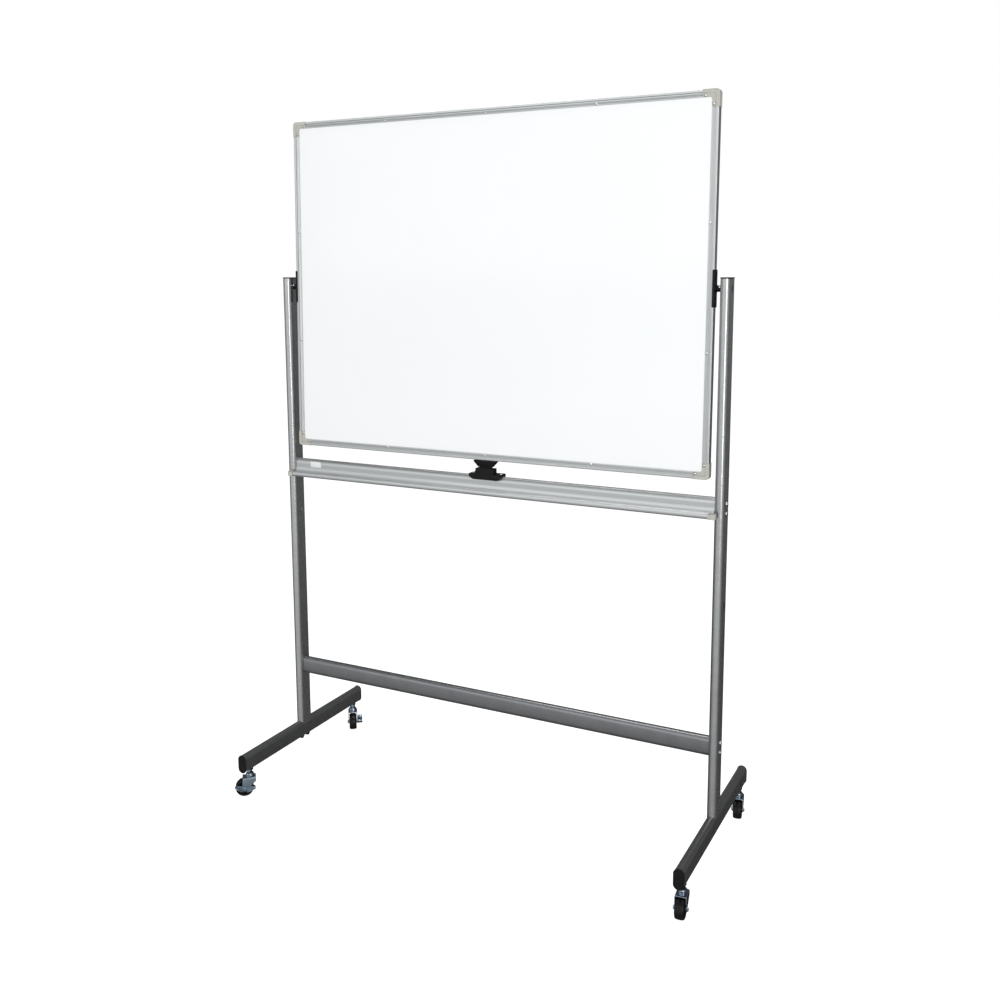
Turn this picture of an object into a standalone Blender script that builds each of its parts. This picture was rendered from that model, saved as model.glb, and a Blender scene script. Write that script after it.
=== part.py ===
"""Rolling whiteboard: a two-sided board that turns over between two uprights on a wheeled stand.

Metres, +Z up, -Y is the front. The origin is on the floor, midway between the uprights and the feet.
"""

import math

import bmesh
import bpy
from mathutils import Matrix, Vector

GAP = 0.0003  # clearance between pieces that touch
ROUND_STEPS = 8  # facets on each round side of a flat-oval tube

# Board
BOARD_WIDTH = 1.200
BOARD_HEIGHT = 0.900
BOARD_TILT = math.radians(1.0)  # at rest the lower edge stands a little forward, over the latch
PIVOT_HEIGHT = 1.416
CORNER_PROUD = 0.001  # how far the plastic corners stand out past the rails
CORNER_ARM = 0.040
CORNER_ROUND = 0.010
CORNER_FACE = 0.018  # how far a corner piece laps over the writing surface
CORNER_DEPTH = 0.0216
CORNER_WALL = 0.0026
FRAME_DEPTH = 0.020
FRAME_FACE = 0.017  # how far the frame laps over the writing surface
FRAME_WALL = 0.0012
RIM_WIDTH = 0.006
RIM_STEP = 0.0014
EDGE_FINE = 0.0004
EDGE_BROAD = 0.0009
PANEL_DEPTH = 0.0140
SHEET_THICKNESS = 0.0006
PANEL_INSET = 0.0030  # from the board's outer edge to the edge of the core and sheets

# Stand tubes, all of the same flat-oval section
TUBE_NARROW = 0.025
TUBE_BROAD = 0.050
TUBE_WALL = 0.0015
UPRIGHT_X = 0.6276
UPRIGHT_TOP = 1.442
FOOT_BOTTOM = 0.077
FOOT_HALF_LENGTH = 0.282
CAP_FLANGE = 0.0025
CAP_OVERHANG = 0.0010
CAP_PLUG = 0.012
UPPER_BEAM_TOP = 0.9227
LOWER_BEAM_TOP = 0.325
BEAM_END_PLATE = 0.004
BEAM_PLATE_RECESS = 0.001  # the plate is welded just inside the tube's end
CUT_BEYOND = 0.005  # how far a cutter runs past the wall it cuts

# Fasteners of the crossbeams
BOLT_SPACING = 0.024
BOLT_SHANK = 0.003
BOLT_LENGTH = 0.050
BOLT_HEAD = 0.0058
BOLT_HEAD_TALL = 0.0036
BOLT_HOLE = 0.0037
SPARE_HOLES_BELOW = 0.138  # second setting of the upper crossbeam

# Pivots
PIVOT_PIN = 0.004
PIVOT_HOLE = 0.0044
PIVOT_BOSS = 0.0075
PIVOT_HEAD = 0.0065
PIVOT_HEAD_THICK = 0.005
PIVOT_ACCESS = 0.008  # opening in the outer wall, for the pin's head
BRACKET_HALF_HEIGHT = 0.0435
BRACKET_LIP = 0.0045
BRACKET_SHEET = 0.0015

# Pen tray
TRAY_SHEET = 0.0012
TRAY_FRONT = -0.0455
TRAY_FLOOR = 0.8815
TRAY_LIP_TOP = 0.8905
TRAY_BEND = 0.020
TRAY_LIP_THICK = 0.0030
TRAY_CAP_REACH = 0.6245
TRAY_CAP_LENGTH = 0.018
TRAY_CAP_WALL = 0.0015
TRAY_CAP_DEPTH = 0.0165
TRAY_LIP_BELOW = 0.0030  # the lip turns down below the floor
TRAY_LIP_EDGE = 0.0008
TRAY_HOOK_START = 75  # degrees round the crossbeam's top
TRAY_BEND_SWEEP = 80

# Latch on top of the upper crossbeam
LATCH_Y = -0.0080
LATCH_EAR = 0.0460
LATCH_EAR_THICK = 0.004
LATCH_SCREW_HOLE = 0.0018
LATCH_SCREW_X = 0.0405
LATCH_SKIRT_X = 0.0355
LATCH_SKIRT_BOTTOM = 0.9155
LATCH_BACK = 0.0165
LATCH_BASE_TOP = 0.9300
LATCH_BLOCK = (0.052, 0.022)
LATCH_BLOCK_TOP = 0.9450
LATCH_POCKET = (0.034, 0.013)
LATCH_POCKET_FLOOR = 0.9272
LATCH_STEM_PLAY = 0.001
LATCH_SHOE = (0.064, 0.020)
LATCH_SHOE_TOP = 0.9660
LATCH_SHOE_SIDE = 0.0120
LATCH_NECK = (0.040, 0.0150)
LATCH_NECK_TOP = 0.9490
LATCH_STEM_BOTTOM = 0.9385
LATCH_STEM_IN = 0.002  # how far the stem runs up into the neck
SPRING_RADIUS = 0.0042
SPRING_WIRE = 0.0005
SPRING_TURNS = 4

# Casters. Heights are measured from the foot's underside.
CASTER_Y = 0.2505
WHEEL_RADIUS = 0.025
WHEEL_WIDTH = 0.0225
WHEEL_BORE = 0.0038
WHEEL_HUB = 0.0080
WHEEL_WEB_RADIUS = 0.0185
WHEEL_WEB_SUNK = 0.0030
AXLE_RADIUS = 0.0035
AXLE_HEAD = 0.0055
TRAIL = 0.0155
FORK_GAP = 0.0245  # between the legs
FORK_SHEET = 0.0020
FORK_TOP = -0.0210
FORK_LEADING = -0.0160
FORK_TRAILING = 0.0195
FORK_LEG_END = 0.0070
RACE_TOP = -0.0108
RACE_RADIUS = 0.0120
STEM_RADIUS = 0.0040
STEM_HOLE = 0.0044
STEM_LENGTH = 0.014
STEM_FLANGE = (0.0095, 0.0026)  # radius and thickness
STEM_NUT = (0.0068, -0.0105)  # radius and lower end
RIVET = (0.0065, 0.0030)  # radius and thickness
FOOT_FLAT = (0.0105, 0.0115, 0.0008)  # seat of the stem's flange, pressed into the foot
CASTER_HEADINGS = {  # the way each wheel trails from its swivel, in degrees from +X
    "left_front": -138.7,
    "left_back": -54.4,
    "right_front": -84.0,
    "right_back": -80.0,
}

# Rocker brake of the two left casters
BRAKED = ("left_front", "left_back")
BRAKE_REST = math.radians(-7.0)  # the trailing wing stands a little higher
BRAKE_WASHER = 0.0085
BRAKE_WING = 0.026
BRAKE_WING_WIDTH = 0.0150
BRAKE_WING_LOW = -0.0072
BRAKE_WING_RISE = math.radians(28.0)
BRAKE_SHEET = 0.0018
BRAKE_CURL = {"leading": 0.0036, "trailing": 0.0016}

SILVER = ("silver_paint", (0.45, 0.46, 0.47), 0.8, 0.35)
DARK_SILVER = ("dark_silver_paint", (0.16, 0.17, 0.18), 0.7, 0.4)
ALUMINIUM = ("anodised_aluminium", (0.75, 0.76, 0.77), 1.0, 0.3)
ENAMEL = ("white_enamel", (0.86, 0.88, 0.89), 0.0, 0.12)
HONEYCOMB = ("core_board", (0.45, 0.33, 0.20), 0.0, 0.8)
GREY_PLASTIC = ("grey_plastic", (0.50, 0.50, 0.44), 0.0, 0.45)
BLACK_PLASTIC = ("black_plastic", (0.012, 0.012, 0.012), 0.0, 0.4)
BLACK_STEEL = ("black_steel", (0.02, 0.02, 0.02), 0.6, 0.45)
ZINC = ("bright_zinc", (0.72, 0.74, 0.76), 1.0, 0.15)
RUBBER = ("black_rubber", (0.018, 0.018, 0.018), 0.0, 0.6)


def start_scene():
    """Empties the scene and returns the collections for the parts and for the cutters."""
    for obj in list(bpy.data.objects):
        bpy.data.objects.remove(obj)
    found = []
    for name in ("rolling_whiteboard", "cutters"):
        collection = bpy.data.collections.new(name)
        bpy.context.scene.collection.children.link(collection)
        found.append(collection)
    return found


PARTS, CUTTERS = start_scene()


def finish(finish_values):
    """The material of this name, made on first use."""
    name, colour, metallic, roughness = finish_values
    material = bpy.data.materials.get(name)
    if material:
        return material
    material = bpy.data.materials.new(name)
    material.use_nodes = True
    shader = material.node_tree.nodes["Principled BSDF"]
    shader.inputs["Base Color"].default_value = (*colour, 1.0)
    shader.inputs["Metallic"].default_value = metallic
    shader.inputs["Roughness"].default_value = roughness
    return material


def empty(name, location, rotation=(0, 0, 0), parent=None):
    """A guide that carries the pieces of one moving group."""
    guide = bpy.data.objects.new(name, None)
    guide.location = location
    guide.rotation_euler = rotation
    guide.parent = parent
    PARTS.objects.link(guide)
    return guide


def add_object(name, mesh, collection, values=None, parent=None):
    obj = bpy.data.objects.new(name, mesh)
    obj.parent = parent
    collection.objects.link(obj)
    if values:
        obj.data.materials.clear()
        obj.data.materials.append(finish(values))
    return obj


def part(name, mesh, values, parent=None, smooth=False):
    """A node of the object from this mesh."""
    if smooth:
        mesh.shade_smooth()
        mesh.set_sharp_from_angle(angle=math.radians(35))
    return add_object(name, mesh, PARTS, values, parent)


def mesh_of(shape, name="shape"):
    """Writes a bmesh out, with its faces turned outwards."""
    bmesh.ops.recalc_face_normals(shape, faces=shape.faces)
    mesh = bpy.data.meshes.new(name)
    shape.to_mesh(mesh)
    shape.free()
    return mesh


def box(low, high):
    """A box between two corners."""
    shape = bmesh.new()
    bmesh.ops.create_cube(shape, size=1.0)
    low, high = Vector(low), Vector(high)
    place = Matrix.Translation((low + high) / 2) @ Matrix.Diagonal((*(high - low), 1.0))
    bmesh.ops.transform(shape, matrix=place, verts=shape.verts)
    return mesh_of(shape)


def tapered_block(low_size, high_size, low_z, high_z, centre):
    """A four-sided block whose lower and upper ends have their own width and depth."""
    shape = bmesh.new()
    bmesh.ops.create_cube(shape, size=1.0)
    for vert in shape.verts:
        size, height = (high_size, high_z) if vert.co.z > 0 else (low_size, low_z)
        vert.co = (centre[0] + vert.co.x * size[0], centre[1] + vert.co.y * size[1], height)
    return mesh_of(shape)


def cylinder(radius, start, end, steps=16):
    """A round rod from one point to another."""
    start, end = Vector(start), Vector(end)
    along = end - start
    shape = bmesh.new()
    bmesh.ops.create_cone(
        shape, cap_ends=True, segments=steps, radius1=radius, radius2=radius, depth=along.length
    )
    turn = along.to_track_quat("Z", "Y").to_matrix().to_4x4()
    place = Matrix.Translation((start + end) / 2) @ turn
    bmesh.ops.transform(shape, matrix=place, verts=shape.verts)
    return mesh_of(shape)


def arc(centre, radius, start, end, steps):
    """Points along an arc, with angles in degrees."""
    turns = [math.radians(start + (end - start) * i / steps) for i in range(steps + 1)]
    return [(centre[0] + radius * math.cos(a), centre[1] + radius * math.sin(a)) for a in turns]


def flat_oval(narrow, broad, inset=0.0):
    """Outline of the tube section: half circles on two straight sides, broad along the second axis."""
    radius = narrow / 2 - inset
    straight = (broad - narrow) / 2
    upper = arc((0, straight), radius, 0, 180, ROUND_STEPS)
    return upper + arc((0, -straight), radius, 180, 360, ROUND_STEPS)


def extruded(loops, length, axes):
    """A flat outline, with any inner loops as holes, drawn out to a length.

    The columns of axes say where the outline's two directions and its length point.
    """
    curve = bpy.data.curves.new("outline", "CURVE")
    curve.dimensions = "2D"
    curve.fill_mode = "BOTH"
    curve.extrude = length / 2
    for loop in loops:
        spline = curve.splines.new("POLY")
        spline.points.add(len(loop) - 1)
        for point, (u, v) in zip(spline.points, loop):
            point.co = (u, v, 0, 1)
        spline.use_cyclic_u = True
    guide = bpy.data.objects.new("outline", curve)
    CUTTERS.objects.link(guide)
    bpy.context.view_layer.update()
    raw = bpy.data.meshes.new_from_object(guide.evaluated_get(bpy.context.evaluated_depsgraph_get()))
    bpy.data.objects.remove(guide)
    shape = bmesh.new()
    shape.from_mesh(raw)
    bmesh.ops.remove_doubles(shape, verts=shape.verts, dist=0.00001)
    turn = Matrix(axes).transposed().to_4x4()
    bmesh.ops.transform(shape, matrix=turn, verts=shape.verts)
    return mesh_of(shape)


ALONG_X = ((0, 1, 0), (0, 0, 1), (1, 0, 0))  # outline drawn in Y and Z
ALONG_Y = ((1, 0, 0), (0, 0, 1), (0, -1, 0))  # outline drawn in X and Z
ALONG_Z = ((1, 0, 0), (0, 1, 0), (0, 0, 1))  # outline drawn in X and Y


def moved(mesh, x=0.0, y=0.0, z=0.0, turn=None):
    """The mesh, turned and shifted in place."""
    mesh.transform(Matrix.Translation((x, y, z)) @ (turn.to_4x4() if turn else Matrix.Identity(4)))
    return mesh


def turned(profile, axis="Z", steps=20):
    """A solid of revolution. The profile's points are (radius, height), down its outer side."""
    shape = bmesh.new()
    verts = [shape.verts.new((radius, 0, height)) for radius, height in profile]
    for first, second in zip(verts, verts[1:]):
        shape.edges.new((first, second))
    if profile[0][0] > 0:
        shape.edges.new((verts[-1], verts[0]))
    mesh = bpy.data.meshes.new("profile")
    shape.to_mesh(mesh)
    shape.free()
    guide = add_object("profile", mesh, CUTTERS)
    screw = guide.modifiers.new("turn", "SCREW")
    screw.steps = screw.render_steps = steps
    screw.use_merge_vertices = True
    screw.merge_threshold = 0.00001
    bpy.context.view_layer.update()
    solid = bpy.data.meshes.new_from_object(guide.evaluated_get(bpy.context.evaluated_depsgraph_get()))
    bpy.data.objects.remove(guide)
    bpy.data.meshes.remove(mesh)
    shape = bmesh.new()
    shape.from_mesh(solid)
    lay = {"X": Matrix.Rotation(math.pi / 2, 4, "Y"), "Y": Matrix.Rotation(-math.pi / 2, 4, "X")}
    if axis != "Z":
        bmesh.ops.transform(shape, matrix=lay[axis], verts=shape.verts)
    return mesh_of(shape)


def combine(obj, operation, meshes, parent=None):
    """Cuts or joins the object with helper shapes that share its frame."""
    for mesh in meshes:
        helper = add_object(f"{obj.name}_{operation.lower()}", mesh, CUTTERS, parent=parent)
        helper.hide_render = True
        helper.display_type = "WIRE"
        modifier = obj.modifiers.new(operation.lower(), "BOOLEAN")
        modifier.operation = operation
        modifier.object = helper
        modifier.solver = "EXACT"
    return obj


def cut(obj, *meshes):
    return combine(obj, "DIFFERENCE", meshes, obj.parent)


def join(obj, *meshes):
    return combine(obj, "UNION", meshes, obj.parent)


def tube_section(inset=0.0):
    return flat_oval(TUBE_NARROW, TUBE_BROAD, inset)


def tube(length, axes):
    return extruded([tube_section(), tube_section(TUBE_WALL)], length, axes)


def tube_plug(length, axes):
    """The part of a plastic plug that goes inside a tube."""
    return extruded([tube_section(TUBE_WALL + GAP)], length, axes)


def tube_flange(length, axes):
    """The rim of a plastic plug that covers a tube's end."""
    return extruded([tube_section(-CAP_OVERHANG)], length, axes)


def bolt_heights(beam_top):
    centre = beam_top - TUBE_BROAD / 2
    return centre + BOLT_SPACING / 2, centre - BOLT_SPACING / 2


SIDES = {"left": -1, "right": 1}
FOOT_MIDDLE = FOOT_BOTTOM + TUBE_BROAD / 2
TUBE_RADIUS = TUBE_NARROW / 2
UPRIGHT_INNER = UPRIGHT_X - TUBE_RADIUS


def make_upright(name, side):
    """Tube from the foot to the pivot, its lower end shaped to sit over the foot."""
    x = side * UPRIGHT_X
    low = FOOT_BOTTOM + TUBE_BROAD - TUBE_RADIUS
    high = UPRIGHT_TOP - CAP_FLANGE - GAP
    mesh = moved(tube(high - low, ALONG_Z), x, 0, (low + high) / 2)
    upright = part(f"{name}_upright", mesh, SILVER, smooth=True)
    saddle = extruded([tube_section(-GAP)], 4 * TUBE_BROAD, ALONG_Y)
    cuts = [moved(saddle, x, 0, FOOT_MIDDLE)]
    through = TUBE_RADIUS + CUT_BEYOND
    spare = [z - SPARE_HOLES_BELOW for z in bolt_heights(UPPER_BEAM_TOP)]
    for z in (*bolt_heights(UPPER_BEAM_TOP), *bolt_heights(LOWER_BEAM_TOP), *spare):
        cuts.append(cylinder(BOLT_HOLE, (x - through, 0, z), (x + through, 0, z), 8))
    inner, outer = x - side * through, x + side * through
    cuts.append(cylinder(PIVOT_HOLE, (inner, 0, PIVOT_HEIGHT), (x, 0, PIVOT_HEIGHT), 16))
    cuts.append(cylinder(PIVOT_ACCESS, (x, 0, PIVOT_HEIGHT), (outer, 0, PIVOT_HEIGHT), 16))
    cut(upright, *cuts)
    plug = moved(tube_plug(CAP_PLUG, ALONG_Z), x, 0, UPRIGHT_TOP - CAP_FLANGE - CAP_PLUG / 2)
    rim = moved(tube_flange(CAP_FLANGE, ALONG_Z), x, 0, UPRIGHT_TOP - CAP_FLANGE / 2)
    join(part(f"{name}_upright_cap", rim, BLACK_PLASTIC), plug)


def make_foot(name, side):
    """Foot tube with the two holes for its caster stems, and a plug in each end."""
    x = side * UPRIGHT_X
    half = FOOT_HALF_LENGTH - CAP_FLANGE - GAP
    mesh = moved(tube(2 * half, ALONG_Y), x, 0, FOOT_MIDDLE)
    foot = part(f"{name}_foot", mesh, DARK_SILVER, smooth=True)
    bottom = FOOT_BOTTOM - CUT_BEYOND
    wide, deep, high = FOOT_FLAT
    cuts = []
    for y in (-CASTER_Y, CASTER_Y):
        cuts.append(cylinder(STEM_HOLE, (x, y, bottom), (x, y, FOOT_MIDDLE - CUT_BEYOND), 12))
        cuts.append(box((x - wide, y - deep, bottom), (x + wide, y + deep, FOOT_BOTTOM + high)))
    cut(foot, *cuts)
    for end, way in (("front", -1), ("back", 1)):
        rim_y = way * (FOOT_HALF_LENGTH - CAP_FLANGE / 2)
        plug_y = way * (FOOT_HALF_LENGTH - CAP_FLANGE - CAP_PLUG / 2)
        plug = moved(tube_plug(CAP_PLUG, ALONG_Y), x, plug_y, FOOT_MIDDLE)
        rim = moved(tube_flange(CAP_FLANGE, ALONG_Y), x, rim_y, FOOT_MIDDLE)
        join(part(f"{name}_foot_{end}_cap", rim, BLACK_PLASTIC), plug)


def make_crossbeam(name, top, values):
    """Tube between the uprights, closed at each end by a drilled and tapped plate."""
    half = UPRIGHT_INNER - GAP
    middle = top - TUBE_BROAD / 2
    beam = part(name, moved(tube(2 * half, ALONG_X), 0, 0, middle), values, smooth=True)
    plates = []
    holes = []
    for side in (-1, 1):
        plate = extruded([tube_section(TUBE_WALL / 2)], BEAM_END_PLATE, ALONG_X)
        place = side * (half - BEAM_PLATE_RECESS - BEAM_END_PLATE / 2)
        plates.append(moved(plate, place, 0, middle))
        for z in bolt_heights(top):
            start = side * (half - 2 * BEAM_END_PLATE)
            holes.append(cylinder(BOLT_HOLE, (start, 0, z), (side * (half + CUT_BEYOND), 0, z), 8))
    join(beam, *plates)
    cut(beam, *holes)


def make_bolt(name, side, z):
    """Dome-head bolt through an upright into a crossbeam's end."""
    dome = arc((0, 0), 1.0, 90, 0, 3)
    head = [(BOLT_HEAD * u, BOLT_HEAD_TALL * v) for u, v in dome]
    profile = head + [(BOLT_HEAD, 0), (BOLT_SHANK, 0), (BOLT_SHANK, -BOLT_LENGTH), (0, -BOLT_LENGTH)]
    profile = [point for i, point in enumerate(profile) if point != profile[i - 1]]
    profile[0] = (0, BOLT_HEAD_TALL)
    profile.pop(len(head) - 1)
    mesh = turned(profile, "X", 12)
    if side < 0:
        mesh.transform(Matrix.Rotation(math.pi, 4, "Z"))
    moved(mesh, side * (UPRIGHT_X + TUBE_RADIUS + GAP), 0, z)
    part(name, mesh, ZINC, smooth=True)


def make_bolts():
    for beam, top in (("upper", UPPER_BEAM_TOP), ("lower", LOWER_BEAM_TOP)):
        for side_name, side in SIDES.items():
            for place, z in zip(("top", "bottom"), bolt_heights(top)):
                make_bolt(f"{beam}_beam_bolt_{side_name}_{place}", side, z)


def tray_outline():
    """Section of the pen tray in Y and Z: a hook over the crossbeam, a wall, a bend, a floor and a lip."""
    ridge_z = UPPER_BEAM_TOP - TUBE_RADIUS
    inner = TUBE_RADIUS + GAP
    outer = inner + TRAY_SHEET
    bend = (-outer - TRAY_BEND, TRAY_FLOOR + TRAY_SHEET + TRAY_BEND)
    hook_out = arc((0, ridge_z), outer, TRAY_HOOK_START, 180, 9)
    trough = arc(bend, TRAY_BEND, 0, -TRAY_BEND_SWEEP, 7)
    back = TRAY_FRONT + TRAY_LIP_THICK
    low = TRAY_FLOOR - TRAY_LIP_BELOW
    edge = TRAY_LIP_EDGE
    lip = [
        (back, TRAY_FLOOR + TRAY_SHEET),
        (back, TRAY_LIP_TOP - edge),
        (back - edge, TRAY_LIP_TOP),
        (TRAY_FRONT + edge, TRAY_LIP_TOP),
        (TRAY_FRONT, TRAY_LIP_TOP - edge),
        (TRAY_FRONT, low + edge),
        (TRAY_FRONT + edge, low),
        (back, low),
        (back, TRAY_FLOOR),
    ]
    under = arc(bend, TRAY_BEND + TRAY_SHEET, -TRAY_BEND_SWEEP, 0, 7)
    hook_in = arc((0, ridge_z), inner, 180, TRAY_HOOK_START, 9)
    return hook_out + trough + lip + under + hook_in


def make_pen_tray():
    """Tray over the upper crossbeam, with a plastic cap pushed on each end of its lip."""
    half = UPRIGHT_INNER - GAP
    part("pen_tray", extruded([tray_outline()], 2 * half, ALONG_X), ALUMINIUM, smooth=True)
    low_y, high_y = TRAY_FRONT - TRAY_CAP_WALL, TRAY_FRONT - TRAY_CAP_WALL + TRAY_CAP_DEPTH
    lip_low = TRAY_FLOOR - TRAY_LIP_BELOW
    for name, side in SIDES.items():
        start, end = sorted((side * (TRAY_CAP_REACH - TRAY_CAP_LENGTH), side * TRAY_CAP_REACH))
        shell = box((start, low_y, lip_low - TRAY_CAP_WALL), (end, high_y, TRAY_LIP_TOP + TRAY_CAP_WALL))
        cap = part(f"tray_end_cap_{name}", shell, GREY_PLASTIC)
        beyond = side * (TRAY_CAP_REACH - TRAY_CAP_LENGTH - CUT_BEYOND)
        start, end = sorted((side * (half + GAP), beyond))
        low = (start, TRAY_FRONT - GAP, lip_low - GAP)
        cut(cap, box(low, (end, high_y + CUT_BEYOND, TRAY_LIP_TOP + GAP)))


def latch_base_outline():
    """Front view of the latch's base: an ear on each side, narrowing down to the skirt."""
    return [
        (-LATCH_EAR, LATCH_BASE_TOP),
        (-LATCH_EAR, LATCH_BASE_TOP - LATCH_EAR_THICK),
        (-LATCH_SKIRT_X, LATCH_SKIRT_BOTTOM),
        (LATCH_SKIRT_X, LATCH_SKIRT_BOTTOM),
        (LATCH_EAR, LATCH_BASE_TOP - LATCH_EAR_THICK),
        (LATCH_EAR, LATCH_BASE_TOP),
    ]


def make_latch_base():
    """Saddle over the crossbeam and the tray's hook, with a pocket for the shoe and two screw holes."""
    width, depth = LATCH_BLOCK
    front = LATCH_Y - depth / 2
    body = extruded([latch_base_outline()], LATCH_BACK - front, ALONG_Y)
    base = part("latch_base", moved(body, 0, (LATCH_BACK + front) / 2), BLACK_PLASTIC)
    low = (-width / 2, front, LATCH_SKIRT_BOTTOM)
    join(base, box(low, (width / 2, front + depth, LATCH_BLOCK_TOP)))
    ridge_z = UPPER_BEAM_TOP - TUBE_RADIUS
    saddle = TUBE_RADIUS + GAP + TRAY_SHEET + GAP
    reach = 2 * LATCH_EAR
    over_beam = cylinder(saddle, (-reach, 0, ridge_z), (reach, 0, ridge_z), 4 * ROUND_STEPS)
    below = box((-reach, -saddle, ridge_z - TUBE_RADIUS), (reach, saddle, ridge_z))
    wide, deep = LATCH_POCKET[0] / 2, LATCH_POCKET[1] / 2
    pocket = box(
        (-wide, LATCH_Y - deep, LATCH_POCKET_FLOOR),
        (wide, LATCH_Y + deep, LATCH_BLOCK_TOP + CUT_BEYOND),
    )
    screws = []
    for x in (-LATCH_SCREW_X, LATCH_SCREW_X):
        top = (x, 0, LATCH_BASE_TOP + CUT_BEYOND)
        screws.append(cylinder(LATCH_SCREW_HOLE, (x, 0, UPPER_BEAM_TOP), top, 10))
    cut(base, over_beam, below, pocket, *screws)


def make_latch_shoe():
    """Shoe with a flared head, whose stem slides in the base's pocket."""
    centre = (0, LATCH_Y)
    flare_top = LATCH_SHOE_TOP - LATCH_SHOE_SIDE
    neck = tapered_block(LATCH_NECK, LATCH_SHOE, LATCH_NECK_TOP, flare_top, centre)
    shoe = part("latch_shoe", neck, BLACK_PLASTIC)
    head = tapered_block(LATCH_SHOE, LATCH_SHOE, flare_top - GAP, LATCH_SHOE_TOP, centre)
    stem_size = [size - LATCH_STEM_PLAY for size in LATCH_POCKET]
    stem = tapered_block(stem_size, stem_size, LATCH_STEM_BOTTOM, LATCH_NECK_TOP + LATCH_STEM_IN, centre)
    join(shoe, head, stem)


def make_latch_spring():
    """Coil under the latch shoe, in the base's pocket."""
    low = LATCH_POCKET_FLOOR + GAP + SPRING_WIRE
    high = LATCH_STEM_BOTTOM - GAP - SPRING_WIRE
    steps = 12 * SPRING_TURNS
    curve = bpy.data.curves.new("latch_spring", "CURVE")
    curve.dimensions = "3D"
    curve.bevel_depth = SPRING_WIRE
    curve.bevel_resolution = 1
    curve.use_fill_caps = True
    spline = curve.splines.new("POLY")
    spline.points.add(steps)
    for i, point in enumerate(spline.points):
        angle = 2 * math.pi * i / 12
        height = low + (high - low) * i / steps
        point.co = (SPRING_RADIUS * math.cos(angle), LATCH_Y + SPRING_RADIUS * math.sin(angle), height, 1)
    curve.materials.append(finish(ZINC))
    PARTS.objects.link(bpy.data.objects.new("latch_spring", curve))


def frame_section():
    """Section of a board rail: u outwards from the rail's outer face, v through the board."""
    half = FRAME_DEPTH / 2
    step = half - RIM_STEP
    slot = PANEL_DEPTH / 2 + GAP
    side = [
        (-FRAME_FACE, -slot),
        (-FRAME_FACE, -step + EDGE_FINE),
        (-FRAME_FACE + EDGE_FINE, -step),
        (-RIM_WIDTH - EDGE_BROAD, -step),
        (-RIM_WIDTH, -half),
        (-EDGE_BROAD, -half),
        (0, -half + EDGE_BROAD),
    ]
    other = [(u, -v) for u, v in reversed(side)]
    return side + other + [(-FRAME_WALL, slot), (-FRAME_WALL, -slot)]


def make_rails(board):
    """The four aluminium rails, between the plastic corners."""
    rail_x = BOARD_WIDTH / 2 - CORNER_PROUD
    rail_z = BOARD_HEIGHT / 2 - CORNER_PROUD
    reach_x = BOARD_WIDTH / 2 - CORNER_ARM - GAP
    reach_z = BOARD_HEIGHT / 2 - CORNER_ARM - GAP
    upper = ((0, 0, 1), (0, 1, 0), (-1, 0, 0))
    lower = ((0, 0, -1), (0, 1, 0), (1, 0, 0))
    right = ((1, 0, 0), (0, 1, 0), (0, 0, 1))
    left = ((-1, 0, 0), (0, 1, 0), (0, 0, -1))
    places = {
        "top_rail": (upper, 2 * reach_x, (0, 0, rail_z)),
        "bottom_rail": (lower, 2 * reach_x, (0, 0, -rail_z)),
        "right_rail": (right, 2 * reach_z, (rail_x, 0, 0)),
        "left_rail": (left, 2 * reach_z, (-rail_x, 0, 0)),
    }
    for name, (axes, length, place) in places.items():
        rail = moved(extruded([frame_section()], length, axes), *place)
        part(name, rail, ALUMINIUM, board, smooth=True)


def corner_outline():
    """L-shaped outline of a corner piece, with its outer corner rounded, for the right upper corner."""
    x, z = BOARD_WIDTH / 2, BOARD_HEIGHT / 2
    outer = arc((x - CORNER_ROUND, z - CORNER_ROUND), CORNER_ROUND, 0, 90, 6)
    inner = [(x - CORNER_ARM, z), (x - CORNER_ARM, z - CORNER_FACE), (x - CORNER_FACE, z - CORNER_FACE)]
    return [(x - CORNER_FACE, z - CORNER_ARM), (x, z - CORNER_ARM)] + outer + inner


def make_corners(board):
    """Plastic corner pieces that wrap round the panel and close the rails' ends."""
    slot = PANEL_DEPTH / 2 + GAP
    for high, up in (("top", 1), ("bottom", -1)):
        for name, side in SIDES.items():
            mirror = Matrix.Diagonal((side, 1, up)).to_4x4()
            shell = extruded([corner_outline()], CORNER_DEPTH, ALONG_Y)
            deep_x, deep_z = BOARD_WIDTH / 2 - CORNER_WALL, BOARD_HEIGHT / 2 - CORNER_WALL
            room = box((0, -slot, 0), (deep_x, slot, deep_z))
            for mesh in (shell, room):
                mesh.transform(mirror)
                if side * up < 0:
                    mesh.flip_normals()
            cut(part(f"corner_{high}_{name}", shell, GREY_PLASTIC, board), room)


def make_panel(board):
    """Core board with a writing sheet bonded on each face."""
    half_x = BOARD_WIDTH / 2 - PANEL_INSET
    half_z = BOARD_HEIGHT / 2 - PANEL_INSET
    outer = PANEL_DEPTH / 2
    inner = outer - SHEET_THICKNESS
    core = box((-half_x, -inner + GAP, -half_z), (half_x, inner - GAP, half_z))
    part("board_core", core, HONEYCOMB, board)
    for name, way in (("front", -1), ("back", 1)):
        low_y, high_y = sorted((way * inner, way * outer))
        sheet = box((-half_x, low_y, -half_z), (half_x, high_y, half_z))
        part(f"writing_sheet_{name}", sheet, ENAMEL, board)


def bracket_outline(web):
    """Channel section, in X and Y, that clasps the right rail. The web's inner face is at this X."""
    lip, outer = web - BRACKET_LIP, web + BRACKET_SHEET
    near = FRAME_DEPTH / 2 + GAP
    far = near + BRACKET_SHEET
    half = [(web, near), (lip, near), (lip, far), (outer, far)]
    return half + [(u, -v) for u, v in reversed(half)]


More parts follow.
